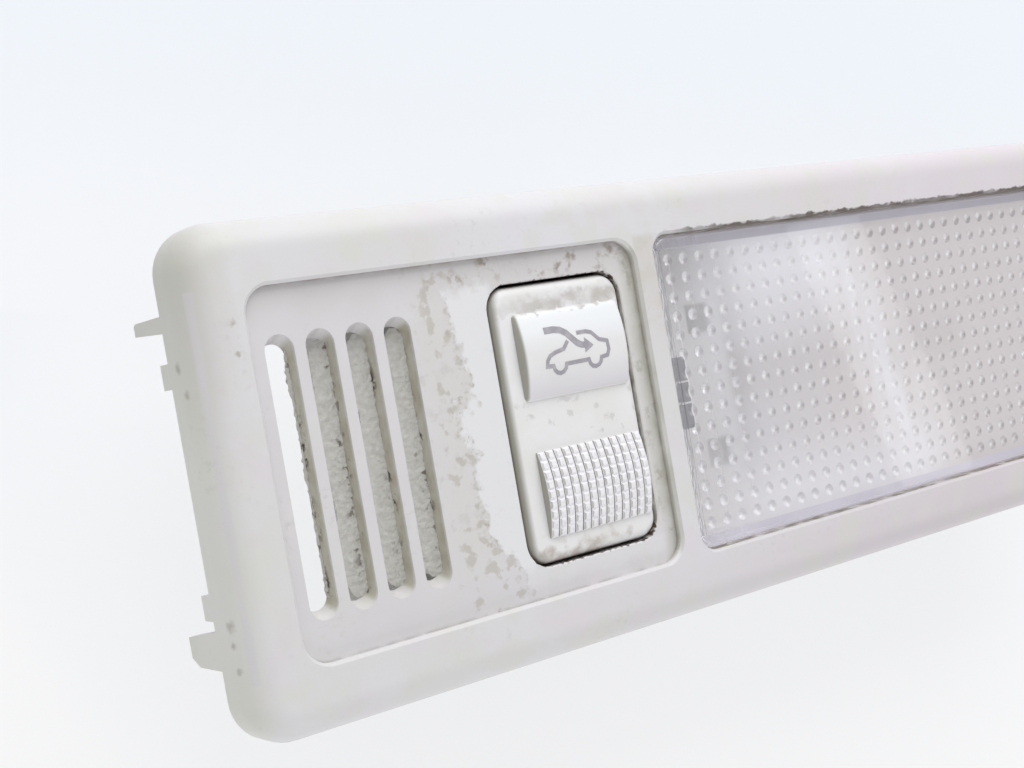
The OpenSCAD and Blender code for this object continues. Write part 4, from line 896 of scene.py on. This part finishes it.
# ---- Bulb and its contacts --------------------------------------------------------------------
# A festoon bulb: a blown glass tube with a nickelled cap crimped on each end and a coiled wire
# between them. Two sprung brass strips pressed into the tray hold it and carry its current.

# Blown soda glass: clear and thin. Light that casts shadows goes straight through.
bulb_glass, skin = new_material("Glass blown, clear")
place = add(bulb_glass, "ShaderNodeTexCoord").outputs["Object"]
waves = add(bulb_glass, "ShaderNodeTexNoise", {0: place, "Scale": 120, "Detail": 1}).outputs[0]
bump = add(bulb_glass, "ShaderNodeBump", {"Height": waves, "Strength": 0.1,
                                          "Distance": 0.05 * MM}).outputs[0]
join(bulb_glass, bump, skin, "Normal")
finish(skin, {"Base Color": linear("#f6f7f4"), "Roughness": 0.02, "IOR": 1.5,
              "Transmission Weight": 1})


def let_lamps_through(material, shader):
    """Lets lamp light pass a clear piece without bending, so that what is behind it is lit."""
    rays = add(material, "ShaderNodeLightPath").outputs
    either = add(material, "ShaderNodeMath", {0: rays["Is Shadow Ray"], 1: rays["Is Diffuse Ray"]},
                 operation="MAXIMUM").outputs[0]
    open_air = add(material, "ShaderNodeBsdfTransparent").outputs[0]
    both = add(material, "ShaderNodeMixShader", {0: either, 1: shader.outputs[0], 2: open_air})
    join(material, both.outputs[0], material.node_tree.nodes["Material Output"], "Surface")


let_lamps_through(bulb_glass, skin)
nodes["bulb_glass"].data.materials[0] = bulb_glass
cap_nickel = stamped_metal("Brass drawn, nickel plated", "#cfd0d0", "#b3b3b1", 0.22, 0.3,
                           (0.1, 1, 1))
for end in ("left", "right"):
    nodes["bulb_cap_" + end].data.materials[0] = cap_nickel
nodes["bulb_filament"].data.materials[0] = stamped_metal(
    "Tungsten wire drawn", "#6f6f70", "#545455", 0.4, 0.1, (1, 1, 1))
strip_brass = stamped_metal("Brass strip stamped and bent", "#cdb98a", "#b09a68", 0.3, 0.2,
                            (1, 1, 0.1))
for end in ("left", "right"):
    nodes["lamp_contact_" + end].data.materials[0] = strip_brass

# ---- Lens -------------------------------------------------------------------------------------
# The lamp's window: one clear moulding in styrene acrylonitrile, glossy in front, with rows of
# small cones inside that scatter the light. It is sprung into the bezel's opening.

# Moulded clear plastic: its front and sides are clear and glossy. Its inner side has turned milky,
# greyish at the left end and pinkish beige past it, and each dot has a painted highlight and a
# painted shaded flank.
lens_clear, skin = new_material("Clear plastic moulded, dotted inside")
in_mm = measured(lens_clear)[0]
at_x, at_y, at_z = add(lens_clear, "ShaderNodeSeparateXYZ", {0: in_mm}).outputs
inside = zone(lens_clear, (at_z, 32.6, 32.2))
drift = patches(lens_clear, in_mm, 9, 3, 0, 1, -4, 4)
baked = zone(lens_clear, (at_x, -14, -1))
pinkish = add(lens_clear, "ShaderNodeMath", {0: at_x, 1: drift}, operation="ADD").outputs[0]
pinkish = zone(lens_clear, (pinkish, -8, 20))
milk = stain(lens_clear, linear("#dcdbdf"), "#e3dcdb", pinkish)
# The lower right part is painted whiter: a painted reflection.
low = zone(lens_clear, (at_y, -8, -18), (at_x, 45, 25))
milk = stain(lens_clear, milk, "#f2f0f4", low)
# A slanting band of streaks and the area above it are painted whiter: a painted reflection of a
# bright window.
off_band = add(lens_clear, "ShaderNodeVectorMath", {0: in_mm, 1: (1, 0.32, 0)},
               operation="DOT_PRODUCT").outputs["Value"]
off_band = add(lens_clear, "ShaderNodeMath", {0: off_band, 1: -26}, operation="ADD").outputs[0]
streaks = add(lens_clear, "ShaderNodeMapping", {0: in_mm, 3: (1, 0.25, 1)}).outputs[0]
band = zone(lens_clear, (off_band, -8, 0), (off_band, 8, 0),
            patches(lens_clear, streaks, 2.5, 3, 0.35, 0.6, 0.3, 1), 0.8)
upper = zone(lens_clear, (at_y, 2, 16), (off_band, 8, -4), (at_x, -14, 4), 0.9)
painted_reflection = add(lens_clear, "ShaderNodeMath", {0: band, 1: upper}, operation="MAXIMUM").outputs[0]
milk = stain(lens_clear, milk, "#fafaff", painted_reflection)
# The dots lie 3.1 mm apart along the lens and 2.75 mm apart across it.
DOT_PITCH = (3.1, 2.75)
cells = add(lens_clear, "ShaderNodeMapping", {
    0: in_mm, 1: (0.5 - 31.75 / DOT_PITCH[0], 0.5, 0),
    3: (1 / DOT_PITCH[0], 1 / DOT_PITCH[1], 0)}).outputs[0]
cell = add(lens_clear, "ShaderNodeVectorMath", {0: cells}, operation="FRACTION").outputs[0]
from_dot = add(lens_clear, "ShaderNodeMapping", {
    0: cell, 1: (-DOT_PITCH[0] / 2, -DOT_PITCH[1] / 2, 0), 3: (*DOT_PITCH, 0)}).outputs[0]
away = add(lens_clear, "ShaderNodeVectorMath", {0: from_dot}, operation="LENGTH").outputs["Value"]
on_dot = zone(lens_clear, (away, 0.98, 0.85), (at_z, 31.9, 31.6))
lit = add(lens_clear, "ShaderNodeVectorMath", {0: from_dot, 1: (-0.6, 0.8, 0)},
          operation="DOT_PRODUCT").outputs["Value"]
# Each dot gets a painted glint of its own strength; its painted shade, on its lower right flank,
# is weaker in the brighter parts.
number = add(lens_clear, "ShaderNodeVectorMath", {0: cells}, operation="FLOOR").outputs[0]
shine = add(lens_clear, "ShaderNodeTexWhiteNoise", {0: number}).outputs["Value"]
shine = zone(lens_clear, (shine, 0, 1, 0.35, 1))
painted_glint = add(lens_clear, "ShaderNodeVectorMath", {0: from_dot, 1: (-0.18, 0.22, 0)},
            operation="DISTANCE").outputs["Value"]
painted_glint = zone(lens_clear, on_dot, (painted_glint, 0.62, 0.4), shine)
milk = stain(lens_clear, milk, "#ffffff", painted_glint)
painted_reflection = add(lens_clear, "ShaderNodeMath", {0: painted_reflection, 1: low}, operation="MAXIMUM").outputs[0]
shade = zone(lens_clear, on_dot, (lit, -0.05, -0.45), (pinkish, 0, 1, 0.45, 0.8),
             (painted_reflection, 0, 1, 1, 0.3))
milk = stain(lens_clear, milk, "#9c9496", shade)
# Painted grey strips stand in for the shaded edges of the latch's tongues at the left end, as they
# show edge on.
painted_tongues = add(lens_clear, "ShaderNodeMath", {0: at_y, 1: 0, 2: 5.2}, operation="COMPARE").outputs[0]
for slit_y in (1.6, -1.5):
    slit = add(lens_clear, "ShaderNodeMath", {0: at_y, 1: slit_y, 2: 0.14},
               operation="COMPARE").outputs[0]
    painted_tongues = zone(lens_clear, painted_tongues, (slit, 0, 1, 1, 0))
painted_tongues = zone(lens_clear, painted_tongues, (at_z, 32.2, 32), (at_x, -14.65, -14.75))
milk = stain(lens_clear, milk, "#8c8c90", painted_tongues)
# A painted highlight runs down the lens where its skirt meets its face.
painted_highlight_line = zone(lens_clear, (at_x, -14.7, -14.65), (at_x, -14.45, -14.5))
milk = stain(lens_clear, milk, "#ffffff", painted_highlight_line, 0.8)
# The skirt shows as a lilac band along the lens's two long edges.
skirt = add(lens_clear, "ShaderNodeMath",
            {0: zone(lens_clear, (at_y, 20.8, 21.2)), 1: zone(lens_clear, (at_y, -21, -21.2))},
            operation="MAXIMUM").outputs[0]
milk = stain(lens_clear, milk, "#e4e1ee", skirt)
tint = add(lens_clear, "ShaderNodeMix", {0: inside, 6: linear("#f4f3f6"), 7: milk},
           data_type="RGBA").outputs[2]
join(lens_clear, tint, skin, "Base Color")
clear_inside = zone(lens_clear, (baked, 0, 1, 0.85, 0.2), (on_dot, 0, 1, 1, 0.4),
                    (painted_tongues, 0, 1, 1, 0.2), (skirt, 0, 1, 1, 0.6))
clear = add(lens_clear, "ShaderNodeMix", {0: inside, 2: 0.95, 3: clear_inside}).outputs[0]
join(lens_clear, clear, skin, "Transmission Weight")
rough_inside = zone(lens_clear, (baked, 0, 1, 0.05, 0.4))
rough = add(lens_clear, "ShaderNodeMix", {0: inside, 2: 0.03, 3: rough_inside}).outputs[0]
join(lens_clear, rough, skin, "Roughness")
waves = patches(lens_clear, in_mm, 5, 2)
bump = add(lens_clear, "ShaderNodeBump", {"Height": waves, "Strength": 0.1,
                                          "Distance": 0.1 * MM}).outputs[0]
join(lens_clear, bump, skin, "Normal")
finish(skin, {"IOR": 1.56, "Coat Weight": 0.5, "Coat Roughness": 0.2})
let_lamps_through(lens_clear, skin)
nodes["lens"].data.materials[0] = lens_clear

# ---- Screws and retaining spring --------------------------------------------------------------
# Zinc-plated self-tapping screws hold the carrier and the tray. A bent strip of spring steel,
# pegged to the tray's end, grips the edge of the opening in the roof lining.
screw_zinc = stamped_metal("Steel zinc plated", "#c2c6c8", "#a4a8aa", 0.3, 0.4, (1, 1, 1))
for group in ("carrier_screws", "lamp_housing_screws"):
    nodes[group].data.materials[0] = screw_zinc
nodes["retaining_spring"].data.materials[0] = stamped_metal(
    "Spring steel strip, bent", "#a9acae", "#85878a", 0.32, 0.25, (1, 0.1, 1))

# ---- Floor, light and camera ------------------------------------------------------------------
# The light lies on its back on a white table, under a wide soft lamp from the far side. The
# camera looks at its left end as the photograph does.
bare()
bpy.ops.mesh.primitive_plane_add(size=4)
floor = bpy.context.object
floor.name = "floor"
# White table: it keeps the shadow, and shows as white to the camera, in gloss and through glass.
table_white, skin = new_material("Table, matt white")
rays = add(table_white, "ShaderNodeLightPath").outputs
seen = rays["Is Camera Ray"]
for ray in ("Is Glossy Ray", "Is Transmission Ray"):
    seen = add(table_white, "ShaderNodeMath", {0: seen, 1: rays[ray]},
               operation="MAXIMUM").outputs[0]
# Its far part turns faintly blue behind a soft line, as the wall behind it does.
place = add(table_white, "ShaderNodeTexCoord").outputs["Object"]
floor_x = add(table_white, "ShaderNodeSeparateXYZ", {0: place}).outputs[0]
away = add(table_white, "ShaderNodeVectorMath", {0: place}, operation="LENGTH").outputs["Value"]
part_white = zone(table_white, seen, (away, 0.35, 0.8, 0.72, 1))
off_line = add(table_white, "ShaderNodeVectorMath", {0: place, 1: (0.128, 1, 0)},
               operation="DOT_PRODUCT").outputs["Value"]
off_line = add(table_white, "ShaderNodeMath", {0: off_line, 1: -0.0128},
               operation="ADD").outputs[0]
# The line is sharp only at the light's left, and widens to nothing beside it.
softness = zone(table_white, (floor_x, -0.125, -0.085, 0.0006, 0.09))
blue = add(table_white, "ShaderNodeMath", {0: off_line, 1: softness},
           operation="DIVIDE").outputs[0]
blue = zone(table_white, (blue, -1, 1))
tone = stain(table_white, linear("#fdfdfd"), "#f5f8fe", blue)
line = zone(table_white, blue, (off_line, 0.0018, 0.0006), (floor_x, -0.09, -0.11))
tone = stain(table_white, tone, "#ebf2f6", line)
tone = stain(table_white, tone, "#eff6fd", (off_line, 0.01, 0.05))
white = add(table_white, "ShaderNodeEmission", {0: tone, 1: 1}).outputs[0]
both = add(table_white, "ShaderNodeMixShader", {0: part_white, 1: skin.outputs[0], 2: white})
join(table_white, both.outputs[0], table_white.node_tree.nodes["Material Output"], "Surface")
finish(skin, {"Base Color": linear("#f4f5f7"), "Roughness": 0.9})
floor.data.materials.append(table_white)

world = bpy.data.worlds.new("soft room")
bpy.context.scene.world = world
world.use_nodes = True
sky = world.node_tree.nodes["Background"]
sky.inputs[0].default_value = linear("#fbfcff")
rays = add(world, "ShaderNodeLightPath").outputs
strength = add(world, "ShaderNodeMapRange", {0: rays["Is Camera Ray"], 3: 0.58, 4: 1}).outputs[0]
world.node_tree.links.new(strength, sky.inputs[1])


def lamp(name, location, size, power, aim=(0, 0, 0.03), along=(0, 0, 1)):
    """Adds a soft rectangular lamp that points at the light, its second side along a line."""
    data = bpy.data.lights.new(name, "AREA")
    data.shape = "RECTANGLE"
    data.size, data.size_y = size
    data.energy = power
    holder = bpy.data.objects.new(name, data)
    bpy.context.scene.collection.objects.link(holder)
    behind = (Vector(location) - Vector(aim)).normalized()
    across = Vector(along).cross(behind).normalized()
    turn = Matrix((across, behind.cross(across), behind)).transposed().to_4x4()
    holder.matrix_world = Matrix.Translation(location) @ turn


lamp("key", (0.05, 0.58, 0.42), (0.7, 0.5), 3.3)
# Light thrown back from below the near side, as a white table would.
lamp("bounce", (-0.05, -0.5, 0.2), (0.8, 0.3), 0.93)
# A narrow window that the lens mirrors as a slanting band.
lamp("strip", (0.673, -0.036, 0.602), (0.05, 0.22), 0.035, (0.026, 0, 0.0337),
     (0.356, -0.934, 0))

# The camera's own axes in the row frame, fitted to the photograph's straight edges.
right = Vector((0.80618, -0.16997, 0.56673))
up = Vector((0.15248, 0.98518, 0.07856))
back = -Vector((0.57168, -0.02308, -0.82015))
camera_data = bpy.data.cameras.new("camera")
camera_data.lens = 52.73
camera_data.sensor_width = 36
camera_data.clip_start = 0.005
camera = bpy.data.objects.new("camera", camera_data)
bpy.context.scene.collection.objects.link(camera)
turn = Matrix((right, up, back)).transposed().to_4x4()
camera.matrix_world = Matrix.Translation((-0.15939, 0.01048, 0.19621)) @ turn
bpy.context.scene.camera = camera
bpy.context.scene.view_settings.view_transform = "Standard"
